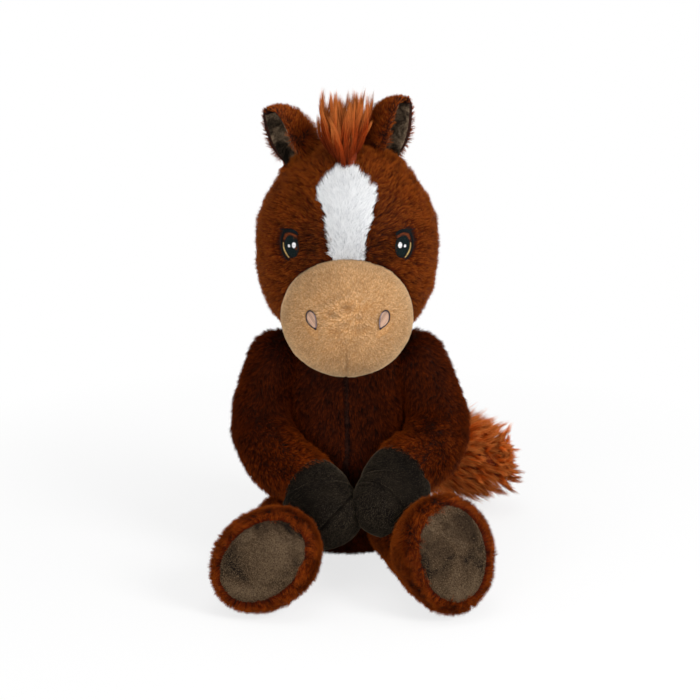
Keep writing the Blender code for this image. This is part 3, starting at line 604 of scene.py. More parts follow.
def muzzle_dent(points):
    """How far the stitches draw the muzzle's skin in at each place, in millimetres."""
    x = (points[:, 0] - muzzle_centre[0]) * 1000
    z = (points[:, 2] - muzzle_centre[2]) * 1000
    front = np.clip((muzzle_centre[1] - points[:, 1]) / muzzle_half[1] * 1.6, 0, 1)
    dent = 1.5 * bell(x - 0.6 * np.sin(z * 0.5), 1.1) * np.clip((-6 - z) / 20, 0, 1)
    for gx, gz, deep in gather_mm:
        away = np.hypot((x - gx) / 1.8, z - gz)
        dent += deep * 0.55 * bell(away, 2.4) - deep * 0.30 * bell(away - 4.4, 2.0)
    return dent * front


def muzzle_skin(directions, outward):
    """Points of the muzzle's skin in given directions from its centre, with its seam and gathers."""
    points = muzzle_centre + directions * (muzzle_half + outward)
    return points - directions * (muzzle_dent(points) * 0.001)[:, None]


around = round_turns(128)
muzzle_rings = []
for angle in np.linspace(-math.pi / 2 + 0.05, math.pi / 2 - 0.05, 90):
    flat = math.cos(angle)
    turn = np.column_stack([np.cos(around) * flat, np.sin(around) * flat, np.full(128, math.sin(angle))])
    muzzle_rings.append(muzzle_skin(turn, -0.0012))
muzzle_cloth = cloth_mesh("muzzle_cloth", np.array(muzzle_rings), tan_backing)
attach(muzzle_cloth, "head")
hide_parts("muzzle_cover", "muzzle_stuffing")

# Outline of the embroidered nostril, outward and up from its middle, in millimetres.
nostril_outline_mm = (
    (-1.4, 5.2), (0.8, 6.0), (2.9, 4.6), (3.6, 1.6), (2.9, -1.4), (0.6, -4.0), (-3.0, -5.8), (-3.5, -2.6),
    (-3.0, 2.0),
)
nostril_places = {1: (0.0262, 0.2031), -1: (-0.0250, 0.2031)}


def on_nostrils(points, grow_mm):
    return on_patches(points, nostril_places, nostril_outline_mm, grow_mm / 4, muzzle_centre[1])


def in_form(points, form, margin):
    """Whether points lie in an upright form grown by a margin."""
    levels, width, depth, height, base = form
    rows = np.array(levels)
    level = (points[:, 2] - base[2]) / height
    wide = np.interp(level, rows[:, 0], rows[:, 1]) * width / 2 + margin
    deep = np.interp(level, rows[:, 0], rows[:, 2]) * depth / 2 + margin
    inside = ((points[:, 0] - base[0]) / wide) ** 2 + ((points[:, 1] - base[1]) / deep) ** 2 < 1
    return inside & (level > rows[0, 0] - margin / height) & (level < rows[-1, 0] + margin / height)


cropped_density = 5.0
cropped_length = 0.0009
where, facing = roots_over(muzzle_cloth, cropped_density, 41)
shown = ~in_form(where, head_form, -0.004) & ~in_form(where, torso_form, 0.001) & ~on_nostrils(where, 0.5)
where, facing = where[shown], facing[shown]
comb = unit(where - np.array([0, -0.108, 0.212])) + np.array([0, 0.0, -0.15])
# The pile is cropped short under each nostril, and curls over the top of the nose.
patch_out = on_nostrils(where + np.array([0, 0, 0.0022]), 3.2) & ~on_nostrils(where, 0.5)
low = (where[:, 2] < 0.2005) & (where[:, 2] > 0.1885) & patch_out
curly = np.exp(-((where[:, 0] / 0.024) ** 2) - ((where[:, 2] - 0.208) / 0.012) ** 2)
tan_long = (0.0021 + 0.0008 * curly)[:, None]
# The pile is painted darker where the stitches draw the skin in, as painted shade in the creases.
crease_painted_shade = -0.38 * muzzle_dent(where)
brushed_pile(
    "muzzle_pile", (where[~low], facing[~low]), cropped_density, comb[~low], tan_long[~low], tan_pile, "head",
    lean=0.75, width=0.00040, tuft=0.0015, gather=(0.30 + 0.40 * curly)[~low],
    ruffle=(0.35 + 0.8 * curly)[~low, None], tone_shift=crease_painted_shade[~low], seed=42,
)
brushed_pile(
    "muzzle_cropped_pile", (where[low], facing[low]), cropped_density, comb[low], cropped_length, peach_pile,
    "head", lean=0.6, width=0.00036, tuft=0.0012, gather=0.2, ruffle=0.3, seed=43,
)


# Eyes
# Satin-stitched rayon: a black ring and lash over a rust iris, a blue-black pupil with two white
# lights, and a gold crescent. The pile of the cheek closes over the edge nearest the blaze.
def rayon_thread(name, colour, dark):
    """Shiny rayon embroidery thread, painted darker where each stitch dives into the cloth, as painted shade.
    """
    # The dark ends of each stitch are painted shade.
    along = ((0.0, dark), (0.18, colour), (0.82, colour), (1.0, dark))
    finish = {"Roughness": 0.45, "IOR": 1.47, "Specular IOR Level": 0.08}
    return fibres(name, along, ((0.0, "#b4b4b4"), (1.0, "#ffffff")), finish)


black_thread = rayon_thread("black rayon thread", "#0b1012", "#040506")
rust_thread = rayon_thread("rust rayon thread", "#6b3216", "#3a1608")
brown_thread = rayon_thread("dark brown rayon thread", "#3a1a0c", "#1c0b04")
pupil_thread = rayon_thread("blue black rayon thread", "#0c1a1a", "#050909")
white_thread = rayon_thread("white rayon thread", "#f2f0f0", "#b9b6b6")
gold_thread = rayon_thread("gold rayon thread", "#bda066", "#6f5a30")


def filled(outline, angle, step=0.42):
    """Satin stitches laid side by side across an outline: pairs of ends in millimetres."""
    turn = np.array([[math.cos(angle), math.sin(angle)], [-math.sin(angle), math.cos(angle)]])
    points = np.asarray(outline) @ turn.T
    pairs = []
    for level in np.arange(points[:, 1].min() + step / 2, points[:, 1].max(), step):
        crossings = []
        for (x1, y1), (x2, y2) in zip(points, np.roll(points, -1, axis=0)):
            if (y1 > level) != (y2 > level):
                crossings.append(x1 + (level - y1) * (x2 - x1) / (y2 - y1))
        crossings.sort()
        for left, right in zip(crossings[::2], crossings[1::2]):
            if right - left > 0.3:
                pairs.append((np.array([left, level]) @ turn, np.array([right, level]) @ turn))
    return pairs


def corded(path, widths, step=0.36):
    """Short satin stitches across a line, as an embroidered edge: pairs of ends in millimetres."""
    path = smoothed(np.column_stack([path, widths]), 8)
    lengths = np.concatenate([[0], np.cumsum(np.linalg.norm(np.diff(path[:, :2], axis=0), axis=1))])

    def row_at(length):
        length = min(max(length, 0), lengths[-1])
        return np.array([np.interp(length, lengths, path[:, column]) for column in range(3)])

    pairs = []
    for at in np.arange(0, lengths[-1], step):
        here = row_at(at)
        way = (row_at(at + 0.3) - row_at(at - 0.3))[:2]
        way = way / max(np.linalg.norm(way), 1e-9)
        across = np.array([-way[1], way[0]]) * here[2] / 2
        pairs.append((here[:2] - across, here[:2] + across))
    return pairs


def embroidery(name, layers, on_skin, body, node, seed):
    """Stitches laid on a skin, each a low rounded thread. Layers are (pairs, material, lift in mm)."""
    thick, high = 0.46, 0.22  # a thread's width and its rise over the cloth, in millimetres
    profile = ((-1, 0.0), (-0.55, 0.72), (0, 1.0), (0.55, 0.72), (1, 0.0))
    rng = np.random.default_rng(seed)
    points, faces, spots, kinds = [], [], [], []
    materials = list(dict.fromkeys(material for _, material, _ in layers))
    for pairs, material, lift in layers:
        for start, end in pairs:
            long = np.linalg.norm(end - start)
            count = max(3, int(long / 0.9) + 2)
            t = np.linspace(0, 1, count)
            line = start + (end - start) * t[:, None]
            across = np.array([-(end - start)[1], (end - start)[0]]) / max(long, 1e-9) * thick / 2
            arch = np.sqrt(np.clip(1 - (2 * t - 1) ** 6, 0, 1))
            tone = rng.uniform(0, 1) * 0.96 + 0.02
            first = len(points)
            for offset, height in profile:
                out = (lift + high * height * arch) * 0.001
                points += np.column_stack([line + across * offset, out]).tolist()
            for strand in range(len(profile) - 1):
                for step in range(count - 1):
                    a = first + strand * count + step
                    faces.append((a, a + count, a + count + 1, a + 1))
                    kinds.append(materials.index(material))
                    spots += [(tone, t[step + extra] * 0.96 + 0.02) for extra in (0, 0, 1, 1)]
    flat = np.array(points)
    placed = on_skin(flat[:, 0], flat[:, 1], flat[:, 2])
    thing = smooth_piece(name, placed, faces, materials, spots)
    thing.data.polygons.foreach_set("material_index", np.array(kinds, dtype=np.int32))
    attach(thing, body)
    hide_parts(node)


def oval(u, v, wide, high, lean=0.0):
    turns = round_turns(28)
    x, y = np.cos(turns) * wide, np.sin(turns) * high
    cosine, sine = math.cos(lean), math.sin(lean)
    return np.column_stack([u + x * cosine - y * sine, v + x * sine + y * cosine])


# The lines of the eye, outward and up from its middle, in millimetres.
eye_ring = (
    (-6.4, 8.6), (-4.4, 10.1), (-1.6, 10.8), (1.4, 10.5), (3.9, 8.6), (5.5, 4.4), (5.8, -0.6), (4.6, -5.6),
    (2.4, -9.2), (0.4, -11.0),
)
eye_ring_widths = (1.6, 2.4, 2.6, 2.4, 1.7, 1.2, 1.2, 1.2, 1.0, 0.7)
lash = ((2.4, 10.2), (5.0, 10.7), (7.6, 11.0))
crescent = ((4.3, 1.4), (4.1, -2.0), (3.0, -5.0), (1.2, -7.8), (0.2, -8.8))
iris = ((-6.0, 7.6), (-1.0, 9.6), (3.4, 8.4), (4.6, 4.0), (2.6, 3.6), (-0.6, 7.0), (-6.0, 6.2))
for side, label in ((1, "left"), (-1, "right")):
    place = eye_places[side]

    def on_brow(u, v, outward):
        x, z = place[0] + side * u * 0.001, place[1] + v * 0.001
        return head_front(x, z, (outward - 0.0006)[:, None])

    layers = (
        (filled(eye_outline_mm, 0.5), brown_thread, 0.0),
        (filled(iris, 0.2), rust_thread, 0.14),
        (filled(oval(-1.7, -0.2, 5.2, 8.6, -0.12), 1.45), pupil_thread, 0.24),
        (corded(crescent, (0.7, 1.1, 1.2, 1.0, 0.6)), gold_thread, 0.34),
        (corded(eye_ring, eye_ring_widths), black_thread, 0.36),
        (corded(lash, (1.4, 0.9, 0.4)), black_thread, 0.36),
        (filled(oval(-3.5, 0.7, 1.55, 2.1, 0.1), 0.0, 0.36), white_thread, 0.46),
        (filled(oval(0.1, -0.3, 0.95, 1.05), 0.0, 0.34), white_thread, 0.46),
    )
    embroidery(label + "_eye", layers, on_brow, "head", label + "_eye_embroidery", 51 + side)


# Nostrils
# Two drops of pale pink satin stitch, edged with grey thread towards the middle and with a navy line
# outside, which ends in a small knot. Below each, the pile is cropped short.
pink_thread = rayon_thread("pale pink rayon thread", "#c4a089", "#94735f")
navy_thread = rayon_thread("navy rayon thread", "#242838", "#101219")
grey_thread = rayon_thread("grey rayon thread", "#7c7482", "#5b5462")
inner_edge = ((-3.0, -5.8), (-3.6, -2.4), (-3.0, 2.2), (-1.4, 5.2))
outer_edge = ((-1.4, 5.2), (0.8, 6.0), (2.9, 4.6), (3.6, 1.6), (2.9, -1.4), (0.6, -4.0), (-2.9, -5.8))
for side, label in ((1, "left"), (-1, "right")):
    place = nostril_places[side]

    def on_nose(u, v, outward):
        x = place[0] + side * u * 0.001 - muzzle_centre[0]
        z = place[1] + v * 0.001 - muzzle_centre[2]
        flat = np.stack([x / muzzle_half[0], np.zeros_like(x), z / muzzle_half[2]], axis=1)
        flat[:, 1] = -np.sqrt(np.maximum(1 - flat[:, 0] ** 2 - flat[:, 2] ** 2, 0.01))
        points = muzzle_centre + flat * muzzle_half
        return points + unit(flat / muzzle_half) * (outward + 0.0004)[:, None]

    layers = (
        (filled(nostril_outline_mm, 0.9, 0.4), pink_thread, 0.0),
        (corded(inner_edge, (0.6, 0.5, 0.5, 0.5)), grey_thread, 0.12),
        (corded(outer_edge, (0.7, 0.8, 0.8, 0.8, 0.8, 0.8, 0.9)), navy_thread, 0.16),
        (filled(oval(-3.0, -5.7, 0.8, 0.7), 0.0, 0.34), navy_thread, 0.24),
    )
    embroidery(
        label + "_nostril", layers, on_nose, "head", label + "_nostril_embroidery", 61 + side
    )


# Forelock
# A fan of long rust polyester pile on a knitted strip, sewn into the seam at the crown.
# It is brushed up into pointed locks, the middle ones longest.
rust_hair = dyed_pile("rust long pile", "#5c1a06", "#ac4416", "#f08c46", "#6c6c6c")
rust_backing = knitted_backing("rust knitted backing", "#8a3512", "#4c1806")


def locks(name, roots, tips, bulge, strands, radius, material, body, width=0.00042, fray=0.10, wave=0.6,
          seed=1):
    """Pointed locks of long pile, each from a root past a bulge point to a tip."""
    rng = np.random.default_rng(seed)
    count = len(roots)
    t = np.linspace(0, 1, 5)[None, :, None]
    n = count * strands
    pick = np.repeat(np.arange(count), strands)
    thick = radius[pick][:, None]
    start = roots[pick] + rng.normal(size=(n, 3)) * thick * 0.65
    short = 1 - np.abs(rng.normal(scale=0.15, size=n))[:, None]
    middle = bulge[pick] + rng.normal(size=(n, 3)) * thick * 0.75
    loose = np.linalg.norm(tips - roots, axis=1)[pick][:, None] * fray * (1.15 - short)
    end = roots[pick] + (tips[pick] - roots[pick]) * short
    end = end + rng.normal(size=(n, 3)) * (loose + thick * 0.10)
    lines = start[:, None, :] * (1 - t) ** 2 + 2 * middle[:, None, :] * t * (1 - t) + end[:, None, :] * t**2
    swing = rng.normal(size=(count, 1, 3))[pick] * 1.2 + rng.normal(size=(n, 1, 3)) * 0.4
    lines = lines + swing * np.sin(t * math.pi * 1.7) * thick[:, :, None] * wave * t
    aside = np.cross(unit(end - start), rng.normal(size=(n, 3))) * 0.001
    facing = unit(middle - (start + end) / 2 + aside + np.array([0, -0.003, 0.002]))
    tones = np.clip(0.5 + rng.normal(scale=0.20, size=count)[pick] + rng.normal(scale=0.24, size=n), 0, 1)
    return hairs(name, lines, width * rng.uniform(0.6, 1.2, n), facing, tones, material, body, soft=0.45)


rng = np.random.default_rng(70)
fan = 160
lean_side = np.clip(rng.normal(scale=0.18, size=fan), -0.38, 0.32)
lean_side[:22] = np.linspace(-0.42, 0.34, 22) + rng.normal(scale=0.02, size=22)
depth = rng.uniform(-1, 1, fan)
long = rng.uniform(0.026, 0.053, fan) * (1 - 0.16 * np.abs(lean_side))
roots_x = lean_side * 0.019 - 0.0020 + rng.normal(scale=0.0008, size=fan)
roots_y = -0.036 + np.abs(roots_x + 0.002) * 1.9 + (depth + 1) * 0.004


def head_top(x, y):
    wide = x / (head_width / 2)
    deep = (y - head_base[1]) / (head_depth / 2)
    return head_centre[2] + head_height / 2 * np.sqrt(np.maximum(1 - wide**2 - deep**2, 0))


crown_sink = 0.003  # how deep the hair starts under the head's skin
lock_roots = np.stack([roots_x, roots_y, head_top(roots_x, roots_y) - crown_sink], axis=1)
aim = np.stack([np.sin(lean_side) * 0.95, depth * 0.22 + 0.10, np.cos(lean_side)], axis=1)
lock_tips = lock_roots + unit(aim + rng.normal(scale=(0.10, 0.06, 0.04), size=(fan, 3))) * long[:, None]
bend = np.stack([np.sin(lean_side) * 0.86, -0.12 + depth * 0.12, np.full(fan, 0.46)], axis=1)
lock_bulge = lock_roots + bend * long[:, None]
for piece in locks(
    "forelock_hair", lock_roots, lock_tips, lock_bulge, 72, rng.uniform(0.0009, 0.0018, fan), rust_hair,
    "head", width=0.00038, fray=0.055, seed=71,
):
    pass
crown_rows = []
turns = round_turns(24)
for t in np.linspace(0, 1, 9):
    wide = 0.0070 * math.sqrt(max(1 - (t * 0.96) ** 2, 0)) + 0.0004
    x = np.cos(turns) * wide
    y = -0.026 + np.sin(turns) * wide * 1.25
    crown_rows.append(np.stack([x, y, head_top(x, y) - crown_sink + t * 0.010], axis=1))
crown_cloth = cloth_mesh("forelock_base", np.array(crown_rows), rust_backing)
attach(crown_cloth, "head")
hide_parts("forelock")


# Mane
# A strip of the same long pile, sewn down the middle of the head's back.
# Its locks are brushed down, so that each row lies over the next.
spine_turns = np.linspace(0.10, 2.05, 26)
turns = round_turns(16)
mane_rows = []
for turn in spine_turns:
    out = np.array([0, math.sin(turn), math.cos(turn)])
    middle = np.array([0, head_base[1], head_centre[2]]) + out * (0, head_depth / 2, head_height / 2)
    ring = middle - out * 0.0015 + np.cos(turns)[:, None] * np.array([0.0085, 0, 0])
    mane_rows.append(ring + np.sin(turns)[:, None] * out * 0.0045)
mane_base = cloth_mesh("mane_base", np.array(mane_rows), rust_backing)
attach(mane_base, "head")
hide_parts("mane")
mane_count = 150
at = rng.uniform(0, 1, mane_count)
turn = np.interp(at, np.linspace(0, 1, len(spine_turns)), spine_turns)
out = np.stack([np.zeros(mane_count), np.sin(turn), np.cos(turn)], axis=1)
along = np.stack([np.zeros(mane_count), np.cos(turn), -np.sin(turn)], axis=1)
aside = rng.uniform(-1, 1, mane_count)
mane_roots = np.column_stack(
    [aside * 0.006, head_base[1] + head_depth / 2 * out[:, 1], head_centre[2] + head_height / 2 * out[:, 2]]
)
mane_long = rng.uniform(0.020, 0.028, mane_count)[:, None]
reach = out * 0.42 + along * 0.75 + aside[:, None] * np.array([0.55, 0, 0])
mane_tips = mane_roots + reach * mane_long
mane_bulge = mane_roots + (out * 0.48 + along * 0.25 + aside[:, None] * np.array([0.2, 0, 0])) * mane_long
for piece in locks(
    "mane_hair", mane_roots, mane_tips, mane_bulge, 75, np.full(mane_count, 0.0026), rust_hair, "head",
    seed=75,
):
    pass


# Ears
# Folded leaves of plush sewn into the crown, each with a charcoal velvet lining in its fold.
# The pile is longer round the foot, where it covers the seam.
ear_height = 0.048
ear_width = 0.026
ear_fold = 0.029
ear_wall = 0.0042
ear_root = 0.0135
# Each level: its share of the height and width, its back's and its hollow's depth, and how far it curls.
ear_levels = (
    (0.14, 1.00, 1.04, 0.46, 0.26), (0.25, 1.04, 1.18, 0.60, 0.36), (0.42, 1.04, 1.16, 0.72, 0.46),
    (0.60, 1.02, 1.08, 0.78, 0.50), (0.78, 0.90, 0.92, 0.68, 0.54), (0.91, 0.72, 0.72, 0.52, 0.58),
    (1.00, 0.36, 0.36, 0.12, 0.60),
)


def brushed_velvet(name, dark, middle, light, cloud_mm):
    """Polyester velvet: soft clouds painted lighter and darker, as painted sheen where the nap is brushed one
    way or the other, over a fine grain.

    The grain of the real one is about 0.3 mm. It is drawn at 0.9 mm, as coarse as it needs to be to show.
    """
    material, tree = new_material(name)
    place = add_node(tree, "TexCoord").outputs["Object"]
    cloudy = {"Scale": 1000 / cloud_mm, "Detail": 3.0, "Roughness": 0.55, "Distortion": 0.9}
    clouds = add_node(tree, "TexNoise", cloudy, {"Vector": place})
    grainy = {"Scale": 1000 / 0.9, "Detail": 3.0, "Roughness": 0.7}
    grain = add_node(tree, "TexNoise", grainy, {"Vector": place})
    # The clouds are painted sheen.
    stops = ((0.34, dark), (0.48, middle), (0.66, light))
    tint = add_node(tree, "ValToRGB", {"stops": stops}, {"Fac": clouds})
    speck = add_node(tree, "ValToRGB", {"stops": ((0.35, "#8c8681"), (0.65, "#ffffff"))}, {"Fac": grain})
    blend = {"data_type": "RGBA", "blend_type": "MULTIPLY", "Factor": 1.0}
    mixed = add_node(tree, "Mix", blend, {6: tint, 7: speck})
    bump = add_node(tree, "Bump", {"Strength": 0.6, "Distance": 0.0004}, {"Height": grain})
    finish = {"Roughness": 0.9, "IOR": 1.5, "Specular IOR Level": 0.05}
    shader = add_node(tree, "BsdfPrincipled", finish, {"Base Color": mixed.outputs[2], "Normal": bump})
    add_node(tree, "OutputMaterial", links={"Surface": shader})
    return material


lining_velvet = brushed_velvet("charcoal lining velvet", "#1e1913", "#4e4134", "#8a7660", 11)
ear_pile = dyed_pile("chestnut polyester pile of the ears", "#481504", "#8a380e", "#d2722a", "#5a5a5a")


def arc(wide, deep, turns, shift, level):
    """Points of half an oval at one level of an ear."""
    return np.column_stack([wide * np.cos(turns), deep * np.sin(turns) - shift, np.full(len(turns), level)])


def ear_ring(level, half, back, front, shift, inner_half):
    """A ring of the ear's cloth: its back and the inside of its fold."""
    count = 20
    outer = arc(half, back, np.linspace(0, math.pi, count), shift, level)
    inner = arc(-inner_half, front, math.pi * (np.arange(count) + 0.5) / count, shift, level)
    return np.concatenate([outer, inner])


ear_leans = {1: math.radians(4), -1: math.radians(15)}
ear_turns = {1: math.radians(46), -1: math.radians(42)}
for side, label in ((1, "left"), (-1, "right")):
    a = side * ear_leans[side]
    b = side * ear_turns[side]
    lean = np.array([[math.cos(a), 0, math.sin(a)], [0, 1, 0], [-math.sin(a), 0, math.cos(a)]])
    turned = np.array([[math.cos(b), -math.sin(b), 0], [math.sin(b), math.cos(b), 0], [0, 0, 1]])
    frame_of_ear = lean @ turned
    levels = smoothed(ear_levels, 4)
    rings = []
    for share in (0.10, 0.4, 0.7, 1.0):
        angle = share * math.pi / 2
        radius = ear_root * math.sin(angle)
        rings.append(ear_ring(-ear_root * math.cos(angle), radius, radius, -radius, 0, radius))
    for level, wide, back, front, shift in levels:
        half = wide * ear_width / 2
        inner = min(half - ear_wall, half * 0.9) if front > 0.02 else half * 0.9
        shell = 0.0022 * min(1.0, (1.06 - level) * 8)
        depths = (back * ear_fold - shell, front * ear_fold, shift * ear_fold)
        rings.append(ear_ring(level * ear_height, half - shell, *depths, inner))
    ear_cloth = cloth_mesh(
        label + "_ear_cloth", np.array(rings) @ frame_of_ear.T + ear_pivots[side], plush_backing_painted_shade
    )
    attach(ear_cloth, label + "_ear")
    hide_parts(label + "_ear_cover")

    lining = []
    turns = math.pi * np.linspace(0.02, 0.98, 20)
    for level in np.linspace(0.06, 0.90, 18):
        wide, front, shift = [np.interp(level, levels[:, 0], levels[:, k]) for k in (1, 3, 4)]
        half = wide * ear_width / 2 - ear_wall - 0.0004
        deep = max(front * ear_fold - 0.0006, 0.003)
        fold = 0.0022 * math.exp(-(((level - 0.34) / 0.030) ** 2))
        place = (turns, shift * ear_fold, level * ear_height)
        face = arc(half - fold, deep - fold, *place)
        back = arc(half + 0.0012, deep + 0.0012, *place)
        lining.append(np.concatenate([face, back[::-1]]))
    ear_lining = cloth_mesh(
        label + "_ear_velvet", np.array(lining) @ frame_of_ear.T + ear_pivots[side], lining_velvet
    )
    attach(ear_lining, label + "_ear")
    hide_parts(label + "_ear_lining")

    where, facing = roots_over(ear_cloth, 2.2, 80 + side)
    local = (where - ear_pivots[side]) @ frame_of_ear
    level = local[:, 2] / ear_height
    half, deep, shift = [np.interp(level, levels[:, 0], levels[:, k]) for k in (1, 3, 4)]
    half = half * ear_width / 2
    inward = local[:, 1] + shift * ear_fold
    across = local[:, 0] / np.maximum(half - ear_wall + 0.0014, 0.001)
    hollow = np.hypot(across, inward / (np.maximum(deep * ear_fold, 0.003) + 0.0014)) < 1
    hollow &= ((facing @ frame_of_ear)[:, 1] < 0.6) & (level > 0.0) & (level < 0.92) & (inward > -0.0005)
    shown = ~hollow & ~in_form(where, head_form, -0.003)
    at_mouth = np.clip(1.4 - inward / 0.008, 0, 1) * (np.abs(local[:, 0]) < half)
    foot = np.clip(1.2 - level * 1.5, 0, 1)
    towards_head = np.clip(-side * (where[:, 0] - ear_pivots[side][0]) / 0.012, 0, 1)
    ear_long = (0.0062 + 0.0034 * foot * (1 + 1.4 * towards_head)) * (1 - 0.3 * at_mouth)
    ear_long = (ear_long * (1 - 0.35 * np.clip((level - 0.7) / 0.25, 0, 1)))[:, None]
    up = np.array([0, -0.25, 1.0]) @ frame_of_ear.T
    aside = np.sign(local[:, 0:1]) * frame_of_ear[:, 0] * 0.15
    from_foot = unit(where - (ear_pivots[side] + np.array([0, 0, 0.02])))
    comb = up * (1 - 1.5 * foot)[:, None] + from_foot * 0.8 + aside
    brushed_pile(
        label + "_ear_pile", (where[shown], facing[shown]), 2.4, comb[shown], ear_long[shown], ear_pile,
        label + "_ear", lean=0.80, seed=85 + side,
    )


# Legs
# Tapered sleeves of plush, stuffed with fibre, sewn in at the hips and ending in a round foot.
# Each foot is closed by an oval sole of brushed velvet.
leg_length = 0.109
leg_radius = 0.0285
foot_width = 0.072
foot_height = 0.088
foot_round = 0.009
sole_width = 0.048
sole_height = 0.066
# Outward and forward from the hip, in shares of the leg's length.
leg_paths = {
    1: ((0.000, 0.000), (0.055, 0.220), (0.120, 0.480), (0.180, 0.690), (0.235, 0.840)),
    -1: ((0.000, 0.000), (0.030, 0.220), (0.062, 0.480), (0.093, 0.690), (0.120, 0.840)),
}
foot_roll = {1: math.radians(4), -1: math.radians(-48)}
hip_pivots = {1: np.array([0.044, -0.050, 0.028]), -1: np.array([-0.044, -0.050, 0.028])}


def unit_one(vector):
    return vector / np.linalg.norm(vector)


def round_start(place, way, radius, roll=0.0):
    """Rings of the ball-shaped root that a limb starts with, as place, half sizes and roll."""
    rows = []
    for share in (0.08, 0.25, 0.45, 0.70, 0.88):
        angle = share * math.pi / 2
        wide = radius * math.sin(angle)
        rows.append((*(place - way * radius * math.cos(angle)), wide, wide, roll))
    return rows


def leg_rows(side, change):
    """The leg's rings as place, half sizes and roll, with its end's middle and direction."""
    pivot = hip_pivots[side]
    roll = foot_roll[side]
    growth = 0.62  # how far the leg has grown to the foot's size at its last ring but one
    sizes = [(leg_radius * share, leg_radius * share) for share in (1.00, 0.97, 0.95)]
    sizes.append([leg_radius + (size / 2 - leg_radius) * growth for size in (foot_width, foot_height)])
    sizes.append((foot_width / 2, foot_height / 2))
    places = []
    for (outward, forward), (wide, high) in zip(leg_paths[side], sizes):
        level = math.hypot(wide * math.sin(roll), high * math.cos(roll)) - 0.0005
        x, y = pivot[0] + side * outward * leg_length, pivot[1] - forward * leg_length
        places.append(np.array([x, y, level]))
    rows = round_start(places[0], unit_one(places[1] - places[0]), leg_radius + change, roll)
    path = [(*place, wide + change, high + change, roll) for place, (wide, high) in zip(places, sizes)]
    rows += [tuple(row) for row in smoothed(path, 5)]
    last = unit_one(places[-1] - places[-2])
    end = places[-1] + last * (leg_length * (1 - leg_paths[side][-1][1]) - foot_round) + last * change
    for share in (0.0, 0.2, 0.4, 0.6, 0.8, 1.0):
        angle = share * math.pi / 2
        inset = foot_round * (1 - math.cos(angle)) - change
        point = end + last * foot_round * math.sin(angle)
        rows.append((*point, foot_width / 2 - inset, foot_height / 2 - inset, roll))
    return np.array(rows), end + last * foot_round, last


def limb_axes(rows):
    """The path's points, directions and turned axes of a limb's rings."""
    places = rows[:, :3]
    ahead = np.vstack([places[1:], places[-1:]])
    behind = np.vstack([places[:1], places[:-1]])
    along = unit(ahead - behind)
    across = unit(np.cross(along, np.array([0.0, 0.0, 1.0])))
    upright = np.cross(across, along)
    cosine = np.cos(rows[:, 5])[:, None]
    sine = np.sin(rows[:, 5])[:, None]
    turned = across * cosine + np.cross(along, across) * sine
    return places, along, turned, upright * cosine + np.cross(along, upright) * sine


def limb_rings(rows, sides):
    """Oval rings of points round a limb's path."""
    places, _, across, upright = limb_axes(rows)
    angles = round_turns(sides)
    cosine, sine = np.cos(angles)[None, :, None], np.sin(angles)[None, :, None]
    rings = places[:, None, :] + across[:, None, :] * (cosine * rows[:, 3][:, None, None])
    return rings + upright[:, None, :] * (sine * rows[:, 4][:, None, None])


def limb_depth(points, rows):
    """For each point, its nearest ring, and its place across, up and along from that ring's middle."""
    places, along, across, upright = limb_axes(rows)
    best = np.full(len(points), np.inf)
    near = np.zeros(len(points), dtype=int)
    for index, place in enumerate(places):
        gap = np.linalg.norm(points - place, axis=1)
        closer = gap < best
        best[closer] = gap[closer]
        near[closer] = index
    offset = points - places[near]
    u = np.sum(offset * across[near], axis=1)
    v = np.sum(offset * upright[near], axis=1)
    return near, u, v, np.sum(offset * along[near], axis=1)


sole_velvet = brushed_velvet("charcoal sole velvet", "#1e1711", "#4c3c2c", "#655340", 26)
nap_density = 6.0
nap_length = 0.0011
sole_nap = dyed_pile("charcoal nap of the soles", "#241c14", "#66523b", "#a5896a", "#363432")


def nap(name, where, facing, combs, material, body, seed, shade=0.0):
    """The velvet's own nap, about a millimetre long, painted in lighter and darker clouds, as painted sheen
    where it was brushed the other way.
    """
    # The clouds of the nap are painted sheen.
    cloud = drift(where, 0.022, seed)[:, 0] + 0.6 * drift(where, 0.010, seed + 1)[:, 0]
    tone = np.clip(cloud * 0.08 + 0.02, -0.10, 0.08) + shade * np.clip(0.75 - cloud, 0, 1)
    pieces = brushed_pile(
        name, (where, facing), nap_density, np.zeros_like(where) + combs, nap_length, material, body,
        lean=0.6, width=0.00032, tuft=0.0009, gather=0.4, ruffle=0.12, tone_shift=tone, contrast=0.3,
        seed=seed,
    )


